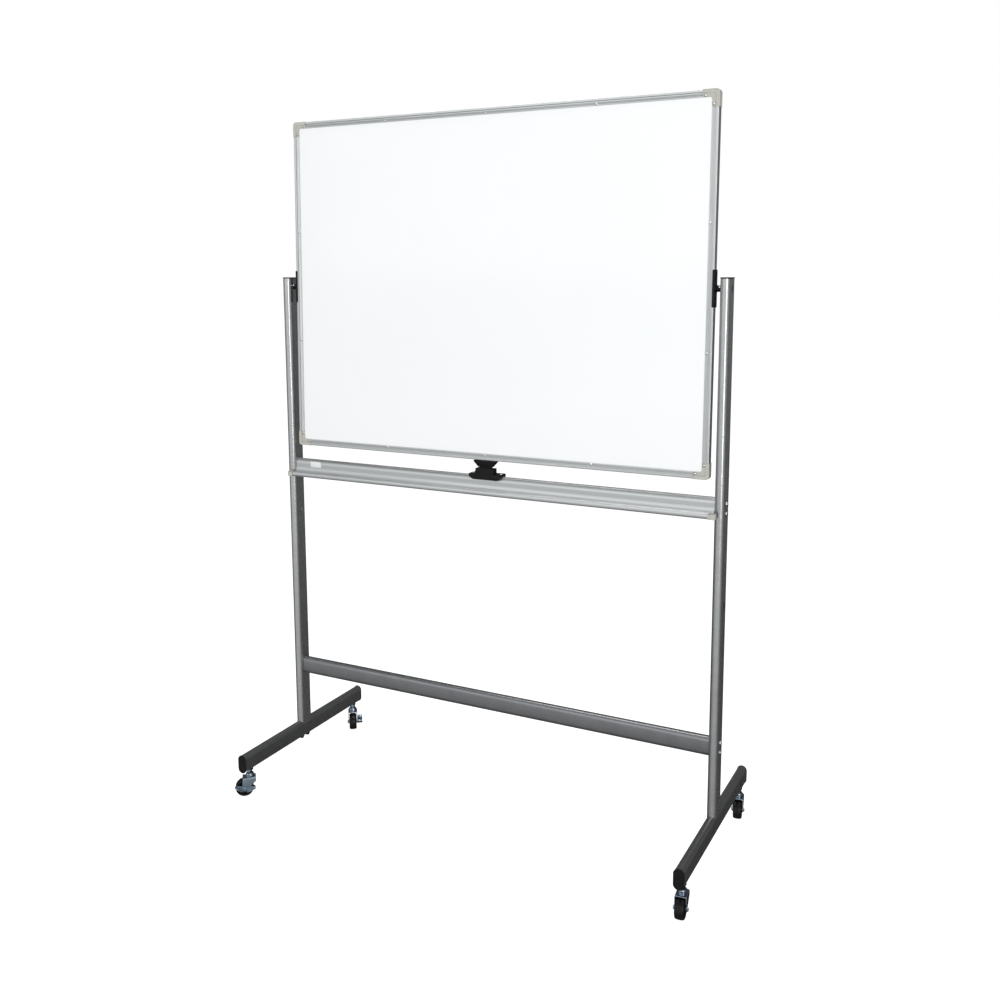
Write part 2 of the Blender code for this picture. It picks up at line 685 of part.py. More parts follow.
def make_pivots(board):
    """Bracket clasping each side rail, with a hub that turns on the upright's pin."""
    web = BOARD_WIDTH / 2 - CORNER_PROUD + GAP
    hub_end = UPRIGHT_INNER - GAP
    for name, side in SIDES.items():
        outline = [(side * u, v) for u, v in bracket_outline(web)]
        channel = extruded([outline], 2 * BRACKET_HALF_HEIGHT, ALONG_Z)
        bracket = part(f"pivot_bracket_{name}", channel, BLACK_STEEL, board)
        hub_start = side * (web + BRACKET_SHEET / 2)
        join(bracket, cylinder(PIVOT_BOSS, (hub_start, 0, 0), (side * hub_end, 0, 0), 20))
        bore_ends = side * (web - CUT_BEYOND), side * (hub_end + CUT_BEYOND)
        cut(bracket, cylinder(PIVOT_HOLE, (bore_ends[0], 0, 0), (bore_ends[1], 0, 0), 16))
        make_pivot_pin(name, side, web + GAP)


def make_pivot_pin(name, side, tip):
    """Headed pin, fixed in the upright's inner wall, that the board's hub turns on."""
    wall_inside = UPRIGHT_INNER + TUBE_WALL + GAP
    head = wall_inside + PIVOT_HEAD_THICK
    profile = [
        (0, head),
        (PIVOT_HEAD - EDGE_BROAD, head),
        (PIVOT_HEAD, head - EDGE_BROAD),
        (PIVOT_HEAD, wall_inside),
        (PIVOT_PIN, wall_inside),
        (PIVOT_PIN, tip),
        (0, tip),
    ]
    mesh = turned(profile, "X", 16)
    if side < 0:
        mesh.transform(Matrix.Rotation(math.pi, 4, "Z"))
    part(f"pivot_pin_{name}", moved(mesh, 0, 0, PIVOT_HEIGHT), ZINC, smooth=True)


def caster_stem():
    """Stem pressed into the foot, flange and nut under it, and the rivet that carries the fork."""
    seat = FOOT_FLAT[2] - GAP
    flange, flange_thick = STEM_FLANGE
    nut, nut_low = STEM_NUT
    rivet, rivet_thick = RIVET
    plate_low = FORK_TOP - FORK_SHEET - GAP
    profile = [
        (0, STEM_LENGTH),
        (STEM_RADIUS, STEM_LENGTH),
        (STEM_RADIUS, seat),
        (flange, seat),
        (flange, -flange_thick),
        (nut, -flange_thick),
        (nut, nut_low),
        (STEM_RADIUS, nut_low),
        (STEM_RADIUS, plate_low),
        (rivet, plate_low),
        (rivet - EDGE_BROAD, plate_low - rivet_thick),
        (0, plate_low - rivet_thick),
    ]
    return turned(profile, "Z", 16)


AXLE_X = TRAIL
AXLE_Z = WHEEL_RADIUS - FOOT_BOTTOM


def fork_leg_outline():
    """Side view of a fork leg: broad under the swivel head, narrowing to a round end at the axle."""
    top = FORK_TOP - FORK_SHEET / 2
    leg_end = arc((AXLE_X, AXLE_Z), FORK_LEG_END, 205, 375, 8)
    return [(FORK_LEADING, top), (FORK_LEADING, top - FORK_SHEET)] + leg_end + [(FORK_TRAILING, top)]


def make_fork(name, guide):
    """Stamped fork: a ball-race head on a plate with two legs."""
    outer = FORK_GAP / 2 + FORK_SHEET
    plate = box((FORK_LEADING, -outer, FORK_TOP - FORK_SHEET), (FORK_TRAILING, outer, FORK_TOP))
    fork = part(f"caster_fork_{name}", plate, ZINC, guide)
    bore = STEM_HOLE + GAP
    groove = (RACE_TOP + FORK_TOP) / 2
    profile = [
        (bore, RACE_TOP),
        (RACE_RADIUS * 0.72, RACE_TOP),
        (RACE_RADIUS * 0.95, groove + 2 * EDGE_BROAD),
        (RACE_RADIUS * 0.84, groove),
        (RACE_RADIUS, groove - EDGE_BROAD),
        (RACE_RADIUS, FORK_TOP - EDGE_FINE),
        (bore, FORK_TOP - EDGE_FINE),
    ]
    legs = []
    for way in (-1, 1):
        leg = extruded([fork_leg_outline()], FORK_SHEET, ALONG_Y)
        legs.append(moved(leg, 0, way * (outer - FORK_SHEET / 2), 0))
    join(fork, turned(profile, "Z", 20), *legs)
    beyond = outer + CUT_BEYOND
    through = cylinder(STEM_HOLE, (0, 0, FORK_TOP - CUT_BEYOND), (0, 0, 0), 16)
    axle_hole = cylinder(AXLE_RADIUS + GAP, (AXLE_X, -beyond, AXLE_Z), (AXLE_X, beyond, AXLE_Z), 12)
    cut(fork, through, axle_hole)


def make_wheel(name, guide):
    """Moulded wheel with a rounded tread, a recess on each side and a hub."""
    half = WHEEL_WIDTH / 2
    shoulder = WHEEL_WIDTH / 8
    profile = [
        (WHEEL_BORE, half + EDGE_FINE),
        (WHEEL_HUB, half + EDGE_FINE),
        (WHEEL_HUB + EDGE_FINE, half - WHEEL_WEB_SUNK),
        (WHEEL_WEB_RADIUS, half - WHEEL_WEB_SUNK),
        (WHEEL_RADIUS - shoulder, half),
        (WHEEL_RADIUS, half - 2 * shoulder),
    ]
    profile += [(radius, -place) for radius, place in reversed(profile)]
    mesh = moved(turned(profile, "Y", 24), AXLE_X, 0, AXLE_Z)
    part(f"caster_wheel_{name}", mesh, RUBBER, guide, smooth=True)


def make_axle(name, guide, braked):
    """Riveted axle through the legs and the wheel. On a braked caster it also carries the lever."""
    leg = FORK_GAP / 2 + FORK_SHEET + GAP
    head = leg + (BRAKE_SHEET + 2 * GAP if braked else 0.0)
    dome, rise = AXLE_HEAD - 2 * EDGE_BROAD, 2 * EDGE_BROAD
    profile = [
        (0, head + 2 * rise),
        (dome, head + 2 * rise),
        (AXLE_HEAD, head + rise),
        (AXLE_HEAD, head),
        (AXLE_RADIUS, head),
        (AXLE_RADIUS, -leg),
        (AXLE_HEAD, -leg),
        (AXLE_HEAD, -leg - rise),
        (dome, -leg - 2 * rise),
        (0, -leg - 2 * rise),
    ]
    mesh = moved(turned(profile, "Y", 12), AXLE_X, 0, AXLE_Z)
    part(f"caster_axle_{name}", mesh, ZINC, guide, smooth=True)


def brake_wing(inner, curl):
    """One wing of the rocker lever, rising from under the axle to a curled tip."""
    outer = inner + BRAKE_WING_WIDTH
    low = BRAKE_WING_LOW
    wing = box((STEM_RADIUS, inner + EDGE_FINE, low), (BRAKE_WING, outer, low + BRAKE_SHEET))
    tip = (BRAKE_WING + EDGE_FINE / 2, low + curl - EDGE_FINE)
    ends = inner + EDGE_BROAD, outer - EDGE_FINE
    roll = cylinder(curl, (tip[0], ends[0], tip[1]), (tip[0], ends[1], tip[1]), 12)
    turn = Matrix.Rotation(-BRAKE_WING_RISE, 4, "Y")
    wing.transform(turn)
    roll.transform(turn)
    return [wing, roll]


def make_brake(name, guide):
    """Rocker lever on the axle: a washer plate with a wing on each side."""
    inner = FORK_GAP / 2 + FORK_SHEET + 2 * GAP
    washer = extruded([arc((0, 0), BRAKE_WASHER, 0, 345, 23)], BRAKE_SHEET, ALONG_Y)
    lever = part(f"brake_lever_{name}", moved(washer, 0, inner + BRAKE_SHEET / 2, 0), ZINC, guide)
    trailing = brake_wing(inner, BRAKE_CURL["trailing"])
    leading = brake_wing(inner, BRAKE_CURL["leading"])
    for mesh in leading:
        mesh.transform(Matrix.Diagonal((-1, 1, 1, 1)))
        mesh.flip_normals()
    join(lever, *trailing, *leading)
    cut(lever, cylinder(AXLE_RADIUS + GAP, (0, 0, 0), (0, inner + CUT_BEYOND, 0), 12))


def make_casters():
    for name, heading in CASTER_HEADINGS.items():
        side_name, end = name.split("_")
        x = SIDES[side_name] * UPRIGHT_X
        y = CASTER_Y if end == "back" else -CASTER_Y
        swivel = empty(f"swivel_{name}", (x, y, FOOT_BOTTOM), (0, 0, math.radians(heading)))
        stem_place = moved(caster_stem(), x, y, FOOT_BOTTOM)
        part(f"caster_stem_{name}", stem_place, ZINC, smooth=True)
        make_fork(name, swivel)
        make_wheel(name, swivel)
        make_axle(name, swivel, name in BRAKED)
        if name in BRAKED:
            hinge = empty(f"brake_hinge_{name}", (AXLE_X, 0, AXLE_Z), (0, BRAKE_REST, 0), swivel)
            make_brake(name, hinge)


def main():
    for name, side in SIDES.items():
        make_upright(name, side)
        make_foot(name, side)
    make_crossbeam("upper_crossbeam", UPPER_BEAM_TOP, SILVER)
    make_crossbeam("lower_crossbeam", LOWER_BEAM_TOP, DARK_SILVER)
    make_bolts()
    make_pen_tray()
    make_latch_base()
    make_latch_shoe()
    make_latch_spring()
    board = empty("board_pivot", (0, 0, PIVOT_HEIGHT), (-BOARD_TILT, 0, 0))
    make_panel(board)
    make_rails(board)
    make_corners(board)
    make_pivots(board)
    make_casters()


main()
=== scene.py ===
"""Rolling whiteboard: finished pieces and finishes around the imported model.

Metres, +Z up, -Y is the front.
"""

import math
from contextlib import contextmanager

import bmesh
import bpy
from mathutils import Matrix, Vector


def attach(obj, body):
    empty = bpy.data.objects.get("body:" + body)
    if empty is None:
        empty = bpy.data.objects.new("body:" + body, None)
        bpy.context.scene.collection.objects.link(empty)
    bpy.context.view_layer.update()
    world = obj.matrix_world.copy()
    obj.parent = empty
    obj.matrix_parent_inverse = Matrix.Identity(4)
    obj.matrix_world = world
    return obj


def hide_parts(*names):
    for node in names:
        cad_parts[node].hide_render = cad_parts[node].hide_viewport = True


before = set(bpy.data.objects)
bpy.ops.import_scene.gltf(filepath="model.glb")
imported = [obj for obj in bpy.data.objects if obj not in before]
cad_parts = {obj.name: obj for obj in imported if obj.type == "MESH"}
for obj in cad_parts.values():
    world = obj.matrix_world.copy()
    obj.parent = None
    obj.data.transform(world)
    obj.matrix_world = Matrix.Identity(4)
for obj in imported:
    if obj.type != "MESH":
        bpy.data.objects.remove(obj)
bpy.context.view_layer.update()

SIDES = {"left": -1, "right": 1}
ENDS = {"front": -1, "back": 1}

# Board
BOARD_TILT = math.radians(-1.0)
PIVOT = Vector((0, 0, 1.416))
BOARD_HALF = (0.600, 0.450)
RAIL_PROUD = 0.001
RAIL_FACE = 0.017
RAIL_HALF_DEPTH = 0.010
RAIL_STEP = 0.0014
RIM = 0.006
PANEL_HALF = 0.0073
CORNER_ARM = 0.040
CORNER_FACE = 0.018
CORNER_BAND = 0.0085
CORNER_RADIUS = 0.0085
CORNER_SCREW = (0.0340, 0.0135)  # from the outer edges, along one arm and across it
RAIL_SCREW = 0.0145  # from the outer edge

# Stand
TUBE_NARROW = 0.025
TUBE_BROAD = 0.050
TUBE_RADIUS = TUBE_NARROW / 2
TUBE_WALL = 0.0018
UPRIGHT_X = 0.6276
UPRIGHT_TOP = 1.442
FOOT_LOW = 0.077
FOOT_MIDDLE = FOOT_LOW + TUBE_BROAD / 2
FOOT_HALF = 0.282
CAP_THICK = 0.0025
CAP_PROUD = 0.001
UPPER_BEAM = 0.8977
LOWER_BEAM = 0.300
INNER_X = UPRIGHT_X - TUBE_RADIUS
BOLT_RISE = 0.012
SPARE_HOLES_BELOW = 0.138
SPARE_HOLE_RADIUS = 0.0037
PIVOT_OPENING_RADIUS = 0.008
SIDE_PLUG_BELOW = 0.238
FOOT_BOLT_Y = 0.0135
STEM_SEAT = (0.0105, 0.0115, 0.0008)  # half width, half length and depth of the flat under the foot
GAP = 0.0003

# Casters, in the frame of their swivel: X towards the trailing side, Z from the foot's underside
CASTER_Y = 0.2505
HEADINGS = {
    "left_front": -138.7,
    "left_back": -54.4,
    "right_front": -84.0,
    "right_back": -80.0,
}
TRAIL = 0.0155
WHEEL_RADIUS = 0.025
AXLE_Z = WHEEL_RADIUS - FOOT_LOW
FORK_HALF = 0.01225
FORK_SHEET = 0.002
FORK_TOP = -0.021
BRAKE_REST = math.radians(-7.0)


# ---------------------------------------------------------------- tools for modelling


def take(*objects):
    """Leaves only these objects selected, the first of them active."""
    bpy.ops.object.select_all(action="DESELECT")
    for obj in objects:
        obj.select_set(True)
    if objects:
        bpy.context.view_layer.objects.active = objects[0]


def start(shape, **size):
    """A new primitive, alone in the selection, with its size and place in its mesh."""
    take()
    getattr(bpy.ops.mesh, f"primitive_{shape}_add")(**size)
    bpy.ops.object.transform_apply(location=True, rotation=True, scale=True)
    return bpy.context.object


def block(low, high):
    """A box between two corners."""
    low, high = Vector(low), Vector(high)
    return start("cube", size=1, location=(low + high) / 2, scale=high - low)


def rod(radius, low, high, axis="Z", steps=32):
    """A round bar along an axis, from one point to another."""
    low, high = Vector(low), Vector(high)
    turn = {"X": (0, math.pi / 2, 0), "Y": (math.pi / 2, 0, 0), "Z": (0, 0, 0)}[axis]
    return start(
        "cylinder",
        vertices=steps,
        radius=radius,
        depth=(high - low).length,
        location=(low + high) / 2,
        rotation=turn,
    )


@contextmanager
def editing(obj):
    """Edit mode on one object, with nothing selected."""
    take(obj)
    bpy.ops.object.mode_set(mode="EDIT")
    bpy.ops.mesh.select_all(action="DESELECT")
    yield
    bpy.ops.object.mode_set(mode="OBJECT")


def middle(item):
    """The middle of an edge or a face."""
    return sum((vert.co for vert in item.verts), Vector()) / len(item.verts)


def reach(edge, axis):
    """How far an edge goes along one axis."""
    return abs(getattr(edge.verts[0].co, axis) - getattr(edge.verts[1].co, axis))


def pick(obj, kind, test):
    """In edit mode, selects the edges or faces of the mesh that pass the test."""
    bpy.context.tool_settings.mesh_select_mode = (kind == "VERT", kind == "EDGE", kind == "FACE")
    bpy.ops.mesh.select_all(action="DESELECT")
    mesh = bmesh.from_edit_mesh(obj.data)
    for item in {"VERT": mesh.verts, "EDGE": mesh.edges, "FACE": mesh.faces}[kind]:
        if test(item):
            item.select_set(True)
    mesh.select_flush_mode()
    bmesh.update_edit_mesh(obj.data)


def apply(obj, kind, **values):
    """Adds a modifier and applies it."""
    modifier = obj.modifiers.new("shape", kind)
    for name, value in values.items():
        setattr(modifier, name, value)
    take(obj)
    bpy.ops.object.modifier_apply(modifier=modifier.name)
    return obj


def rounded(obj, width, segments=2, angle=40):
    """Every edge sharper than the angle gets a small radius."""
    return apply(
        obj,
        "BEVEL",
        width=width,
        segments=segments,
        limit_method="ANGLE",
        angle_limit=math.radians(angle),
        use_clamp_overlap=True,
    )


def carve(obj, *tools, operation="DIFFERENCE"):
    """Cuts the tools away from the object, or joins them to it, and throws the tools away."""
    for tool in tools:
        apply(obj, "BOOLEAN", operation=operation, object=tool, solver="EXACT")
        bpy.data.objects.remove(tool)
    return obj


def fuse(obj, *others):
    """Joins solids to the object."""
    return carve(obj, *others, operation="UNION")


def placed(obj, matrix):
    """Turns and shifts the mesh itself."""
    obj.data.transform(matrix)
    if matrix.determinant() < 0:
        obj.data.flip_normals()
    return obj


def twin(obj, matrix):
    """A copy with its own mesh, put in its place."""
    other = obj.copy()
    other.data = obj.data.copy()
    bpy.context.scene.collection.objects.link(other)
    return placed(other, matrix)


def discard(obj):
    bpy.data.objects.remove(obj)


def arc(centre, radius, start_angle, end_angle, steps):
    """Points along an arc, with angles in degrees."""
    turns = [math.radians(start_angle + (end_angle - start_angle) * i / steps) for i in range(steps + 1)]
    return [(centre[0] + radius * math.cos(a), centre[1] + radius * math.sin(a)) for a in turns]


def outline_bar(points, depth):
    """A bar whose section is this outline, drawn out along Z and centred on it."""
    bar = start("circle", vertices=len(points), radius=1, fill_type="NGON")
    for vert, (x, y) in zip(bar.data.vertices, points):
        vert.co = (x, y, -depth / 2)
    with editing(bar):
        bpy.ops.mesh.select_all(action="SELECT")
        bpy.ops.mesh.extrude_region_move(TRANSFORM_OT_translate={"value": (0, 0, depth)})
        bpy.ops.mesh.select_all(action="SELECT")
        bpy.ops.mesh.normals_make_consistent(inside=False)
    return bar


def spun(profile, axis="Z", steps=48):
    """A turned solid. The profile's points are (radius, height), all round its closed outline."""
    ring = start("circle", vertices=len(profile), radius=1, fill_type="NOTHING")
    for vert, (radius, height) in zip(ring.data.vertices, profile):
        vert.co = (radius, 0, height)
    with editing(ring):
        bpy.ops.mesh.select_all(action="SELECT")
        bpy.ops.mesh.spin(steps=steps, angle=2 * math.pi, center=(0, 0, 0), axis=(0, 0, 1))
        bpy.ops.mesh.select_all(action="SELECT")
        bpy.ops.mesh.remove_doubles(threshold=0.000002)
        bpy.ops.mesh.delete_loose()
        bpy.ops.mesh.select_all(action="SELECT")
        bpy.ops.mesh.normals_make_consistent(inside=False)
    lay = {"X": Matrix.Rotation(math.pi / 2, 4, "Y"), "Y": Matrix.Rotation(-math.pi / 2, 4, "X")}
    return placed(ring, lay[axis]) if axis in lay else ring


def oval_bar(length, grow=0.0, steps=48):
    """A bar of the stand's flat-oval section along Z, broad along Y."""
    radius = TUBE_RADIUS + grow
    bar = start(
        "cylinder", vertices=steps, radius=radius, depth=length, rotation=(0, 0, math.pi / steps)
    )
    shift = (TUBE_BROAD - TUBE_NARROW) / 2
    with editing(bar):
        for way in (-1, 1):
            pick(bar, "VERT", lambda vert: vert.co.y * way > 0)
            bpy.ops.transform.translate(value=(0, way * shift, 0))
    return bar


ALONG_X = Matrix(((0, 0, 1), (1, 0, 0), (0, 1, 0))).to_4x4()  # section drawn in Y and Z
ALONG_Y = Matrix(((1, 0, 0), (0, 0, -1), (0, 1, 0))).to_4x4()  # section drawn in X and Z


def move(x=0.0, y=0.0, z=0.0):
    return Matrix.Translation((x, y, z))


BOARD = move(*PIVOT) @ Matrix.Rotation(BOARD_TILT, 4, "X")


def smooth(obj, angle=35):
    """Shades faces that meet below the angle as one curve."""
    take(obj)
    bpy.ops.object.shade_smooth_by_angle(angle=math.radians(angle))


def piece(obj, name, finish, body, replaces=(), angle=35):
    """Names a finished piece and gives it its finish and its body."""
    obj.name = obj.data.name = name
    obj.data.materials.clear()
    obj.data.materials.append(finish)
    smooth(obj, angle)
    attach(obj, body)
    if replaces:
        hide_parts(*replaces)
    return obj


# ---------------------------------------------------------------- finishes


def new_group(name, inputs, outputs):
    tree = bpy.data.node_groups.new(name, "ShaderNodeTree")
    for label, kind, value in inputs:
        socket = tree.interface.new_socket(label, in_out="INPUT", socket_type=kind)
        if value is not None:
            socket.default_value = value
    for label, kind in outputs:
        tree.interface.new_socket(label, in_out="OUTPUT", socket_type=kind)
    return tree, tree.nodes.new("NodeGroupInput"), tree.nodes.new("NodeGroupOutput")


def make_wander():
    """A slow, cloudy change between two values over the surface."""
    inputs = [
        ("Vector", "NodeSocketVector", None),
        ("Scale", "NodeSocketFloat", 8.0),
        ("Low", "NodeSocketFloat", 0.0),
        ("High", "NodeSocketFloat", 1.0),
    ]
    tree, given, result = new_group("wander", inputs, [("Value", "NodeSocketFloat")])
    noise = tree.nodes.new("ShaderNodeTexNoise")
    noise.inputs["Detail"].default_value = 4.0
    noise.inputs["Roughness"].default_value = 0.55
    spread = tree.nodes.new("ShaderNodeMapRange")
    spread.inputs["From Min"].default_value = 0.32
    spread.inputs["From Max"].default_value = 0.68
    tree.links.new(given.outputs["Vector"], noise.inputs["Vector"])
    tree.links.new(given.outputs["Scale"], noise.inputs["Scale"])
    tree.links.new(noise.outputs["Fac"], spread.inputs["Value"])
    tree.links.new(given.outputs["Low"], spread.inputs["To Min"])
    tree.links.new(given.outputs["High"], spread.inputs["To Max"])
    tree.links.new(spread.outputs["Result"], result.inputs["Value"])
    return tree


def make_fine_grain():
    """Height of a fine grain: rounded cells mixed with noise."""
    inputs = [
        ("Vector", "NodeSocketVector", None),
        ("Scale", "NodeSocketFloat", 900.0),
        ("Cells", "NodeSocketFloat", 0.5),
    ]
    tree, given, result = new_group("fine_grain", inputs, [("Height", "NodeSocketFloat")])
    noise = tree.nodes.new("ShaderNodeTexNoise")
    noise.inputs["Detail"].default_value = 2.0
    cells = tree.nodes.new("ShaderNodeTexVoronoi")
    blend = tree.nodes.new("ShaderNodeMix")
    for node in (noise, cells):
        tree.links.new(given.outputs["Vector"], node.inputs["Vector"])
        tree.links.new(given.outputs["Scale"], node.inputs["Scale"])
    tree.links.new(given.outputs["Cells"], blend.inputs["Factor"])
    tree.links.new(noise.outputs["Fac"], blend.inputs["A"])
    tree.links.new(cells.outputs["Distance"], blend.inputs["B"])
    tree.links.new(blend.outputs["Result"], result.inputs["Height"])
    return tree


WANDER = make_wander()
FINE_GRAIN = make_fine_grain()


def group_node(tree, group, **values):
    node = tree.nodes.new("ShaderNodeGroup")
    node.node_tree = group
    for name, value in values.items():
        node.inputs[name].default_value = value
    return node


def finish(name, dark, light, metallic, roughness, clouds=12.0, grain=(900.0, 0.5, 0.1), draw=None, **sockets):
    """A finish between two colours and two roughnesses, over a fine grain.

    grain is its scale, how cell-like it is and how deep. draw stretches the pattern along an axis.
    """
    material = bpy.data.materials.new(name)
    material.use_nodes = True
    tree = material.node_tree
    shader = tree.nodes["Principled BSDF"]
    place = tree.nodes.new("ShaderNodeTexCoord")
    stretch = tree.nodes.new("ShaderNodeMapping")
    stretch.inputs["Scale"].default_value = draw or (1, 1, 1)
    tree.links.new(place.outputs["Object"], stretch.inputs["Vector"])
    tone = group_node(tree, WANDER, Scale=clouds)
    gloss = group_node(tree, WANDER, Scale=clouds * 1.7, Low=roughness[0], High=roughness[1])
    texture = group_node(tree, FINE_GRAIN, Scale=grain[0], Cells=grain[1])
    colour = tree.nodes.new("ShaderNodeMix")
    colour.data_type = "RGBA"
    colour.inputs["A"].default_value = (*dark, 1)
    colour.inputs["B"].default_value = (*light, 1)
    bump = tree.nodes.new("ShaderNodeBump")
    bump.inputs["Strength"].default_value = grain[2]
    bump.inputs["Distance"].default_value = 0.0002
    for node in (tone, gloss, texture):
        tree.links.new(stretch.outputs["Vector"], node.inputs["Vector"])
    tree.links.new(tone.outputs["Value"], colour.inputs["Factor"])
    tree.links.new(colour.outputs["Result"], shader.inputs["Base Color"])
    tree.links.new(gloss.outputs["Value"], shader.inputs["Roughness"])
    tree.links.new(texture.outputs["Height"], bump.inputs["Height"])
    tree.links.new(bump.outputs["Normal"], shader.inputs["Normal"])
    shader.inputs["Metallic"].default_value = metallic
    for label, value in sockets.items():
        shader.inputs[label.replace("_", " ")].default_value = value
    return material


SILVER = finish(
    "silver_metallic_paint", (0.46, 0.465, 0.47), (0.50, 0.505, 0.51), 0.9, (0.22, 0.27), 30, (2600, 0.6, 0.012),
    Coat_Weight=0.25, Coat_Roughness=0.12,
)
DARK_SILVER = finish(
    "dark_metallic_paint", (0.21, 0.215, 0.22), (0.235, 0.24, 0.25), 0.85, (0.27, 0.33), 30,
    (2600, 0.6, 0.014), Coat_Weight=0.3, Coat_Roughness=0.18,
)
RAIL_X = finish(
    "satin_aluminium_along_x", (0.58, 0.59, 0.59), (0.63, 0.64, 0.64), 0.95, (0.40, 0.46), 60,
    (900, 0.0, 0.02), (0.03, 1, 1),
)
RAIL_Z = finish(
    "satin_aluminium_along_z", (0.58, 0.59, 0.59), (0.63, 0.64, 0.64), 0.95, (0.40, 0.46), 60,
    (900, 0.0, 0.02), (1, 1, 0.03),
)
ENAMEL = finish(
    "white_writing_enamel", (0.80, 0.808, 0.81), (0.815, 0.823, 0.825), 0.0, (0.12, 0.17), 2.2,
    (160, 0.2, 0.004), Coat_Weight=0.3, Coat_Roughness=0.08,
)
GREY_PLASTIC = finish(
    "warm_grey_plastic", (0.40, 0.40, 0.355), (0.44, 0.44, 0.39), 0.0, (0.38, 0.5), 70, (3000, 0.6, 0.03)
)
BLACK_PLASTIC = finish(
    "black_moulded_plastic", (0.005, 0.005, 0.005), (0.008, 0.008, 0.0075), 0.0, (0.32, 0.42), 50,
    (2600, 0.7, 0.03), Specular_IOR_Level=0.18,
)
BLACK_STEEL = finish(
    "black_coated_steel", (0.005, 0.005, 0.005), (0.008, 0.008, 0.008), 0.1, (0.34, 0.42), 50, (2200, 0.5, 0.03),
    Specular_IOR_Level=0.18,
)
ZINC = finish(
    "bright_zinc", (0.26, 0.32, 0.38), (0.38, 0.44, 0.50), 1.0, (0.08, 0.15), 160, (1500, 0.2, 0.01)
)
CHROME = finish(
    "polished_screw_steel", (0.78, 0.80, 0.82), (0.86, 0.87, 0.88), 1.0, (0.07, 0.14), 200, (1500, 0.1, 0.005)
)
TYRE = finish(
    "black_wheel", (0.005, 0.005, 0.0048), (0.009, 0.0085, 0.008), 0.0, (0.30, 0.40), 60, (1800, 0.4, 0.03),
    Specular_IOR_Level=0.2,
)
LABEL = finish(
    "white_paper_label", (0.82, 0.82, 0.80), (0.88, 0.88, 0.87), 0.0, (0.5, 0.6), 90, (2000, 0.0, 0.01)
)
CORE = finish("core_board", (0.36, 0.27, 0.17), (0.46, 0.35, 0.23), 0.0, (0.7, 0.8), 40, (700, 0.2, 0.05))


# ---------------------------------------------------------------- stand


def foot_cutter(x):
    """The foot's own section, used to shape the lower end of an upright."""
    return placed(oval_bar(0.2, GAP), move(x, 0, FOOT_MIDDLE) @ ALONG_Y)


def make_upright(name, side):
    """Tube with its lower end coped over the foot, its spare bolt holes and its pivot opening."""
    x = side * UPRIGHT_X
    low, high = FOOT_LOW + TUBE_BROAD - TUBE_RADIUS, UPRIGHT_TOP - CAP_THICK - GAP
    post = placed(oval_bar(high - low), move(x, 0, (low + high) / 2))
    holes = [foot_cutter(x)]
    past_wall = TUBE_RADIUS + 0.002
    for rise in (BOLT_RISE, -BOLT_RISE):
        z = UPPER_BEAM - SPARE_HOLES_BELOW + rise
        for way in (-1, 1):
            start_x, end_x = x + way * (TUBE_RADIUS - 0.006), x + way * past_wall
            holes.append(rod(SPARE_HOLE_RADIUS, (start_x, 0, z), (end_x, 0, z), "X", 24))
    inside, outside = x - side * 0.004, x + side * past_wall
    holes.append(rod(PIVOT_OPENING_RADIUS, (inside, 0, PIVOT.z), (outside, 0, PIVOT.z), "X", 36))
    carve(post, *holes)
    rounded(post, 0.0003, 1)
    piece(post, f"{name}_post", SILVER, "frame", [f"{name}_upright"])


def make_end_plug(centre, turn, name, node):
    """Plastic plug: a flat lid with a softened edge over the tube's end, and a shank inside it."""
    plug = oval_bar(CAP_THICK, CAP_PROUD)
    with editing(plug):
        pick(plug, "FACE", lambda face: face.normal.z > 0.5)
        bpy.ops.mesh.inset(thickness=0.0016, depth=0.0)
        bpy.ops.mesh.inset(thickness=0.004, depth=0.0)
    rounded(plug, 0.0009, 3, 50)
    shank = oval_bar(0.010, -TUBE_WALL)
    fuse(plug, placed(shank, move(z=-0.0055)))
    placed(plug, move(*centre) @ turn)
    piece(plug, name, BLACK_PLASTIC, "frame", [node])


def make_foot(name, side):
    """Foot tube with a flat pressed in under each caster, and a plug in each end."""
    x = side * UPRIGHT_X
    length = 2 * (FOOT_HALF - CAP_THICK - GAP)
    foot = placed(oval_bar(length), move(x, 0, FOOT_MIDDLE) @ ALONG_Y)
    half_x, half_y, deep = STEM_SEAT
    seats = [
        block((x - half_x, y - half_y, FOOT_LOW - 0.005), (x + half_x, y + half_y, FOOT_LOW + deep))
        for y in (-CASTER_Y, CASTER_Y)
    ]
    carve(foot, *seats)
    rounded(foot, 0.0003, 1)
    piece(foot, f"{name}_foot_tube", DARK_SILVER, "frame", [f"{name}_foot"])
    for end, way in ENDS.items():
        y = way * (FOOT_HALF - CAP_THICK / 2)
        turn = Matrix.Rotation(-way * math.pi / 2, 4, "X")
        make_end_plug((x, y, FOOT_MIDDLE), turn, f"{name}_foot_{end}_plug", f"{name}_foot_{end}_cap")


def make_foot_bolts():
    """Two flanged bolts under each foot hold its upright."""
    washer = [(0, 0), (0.0078, 0), (0.0078, -0.0008), (0.0062, -0.0016), (0.0056, -0.0016), (0, -0.0016)]
    bolt = spun(washer, steps=28)
    head = start("cylinder", vertices=6, radius=0.0058, depth=0.0045, location=(0, 0, -0.0036))
    fuse(bolt, rounded(head, 0.0004, 2))
    for name, side in SIDES.items():
        for end, way in ENDS.items():
            place = move(side * UPRIGHT_X, way * FOOT_BOLT_Y, FOOT_LOW - 0.0001)
            piece(twin(bolt, place), f"{name}_foot_bolt_{end}", BLACK_STEEL, "frame")
    discard(bolt)


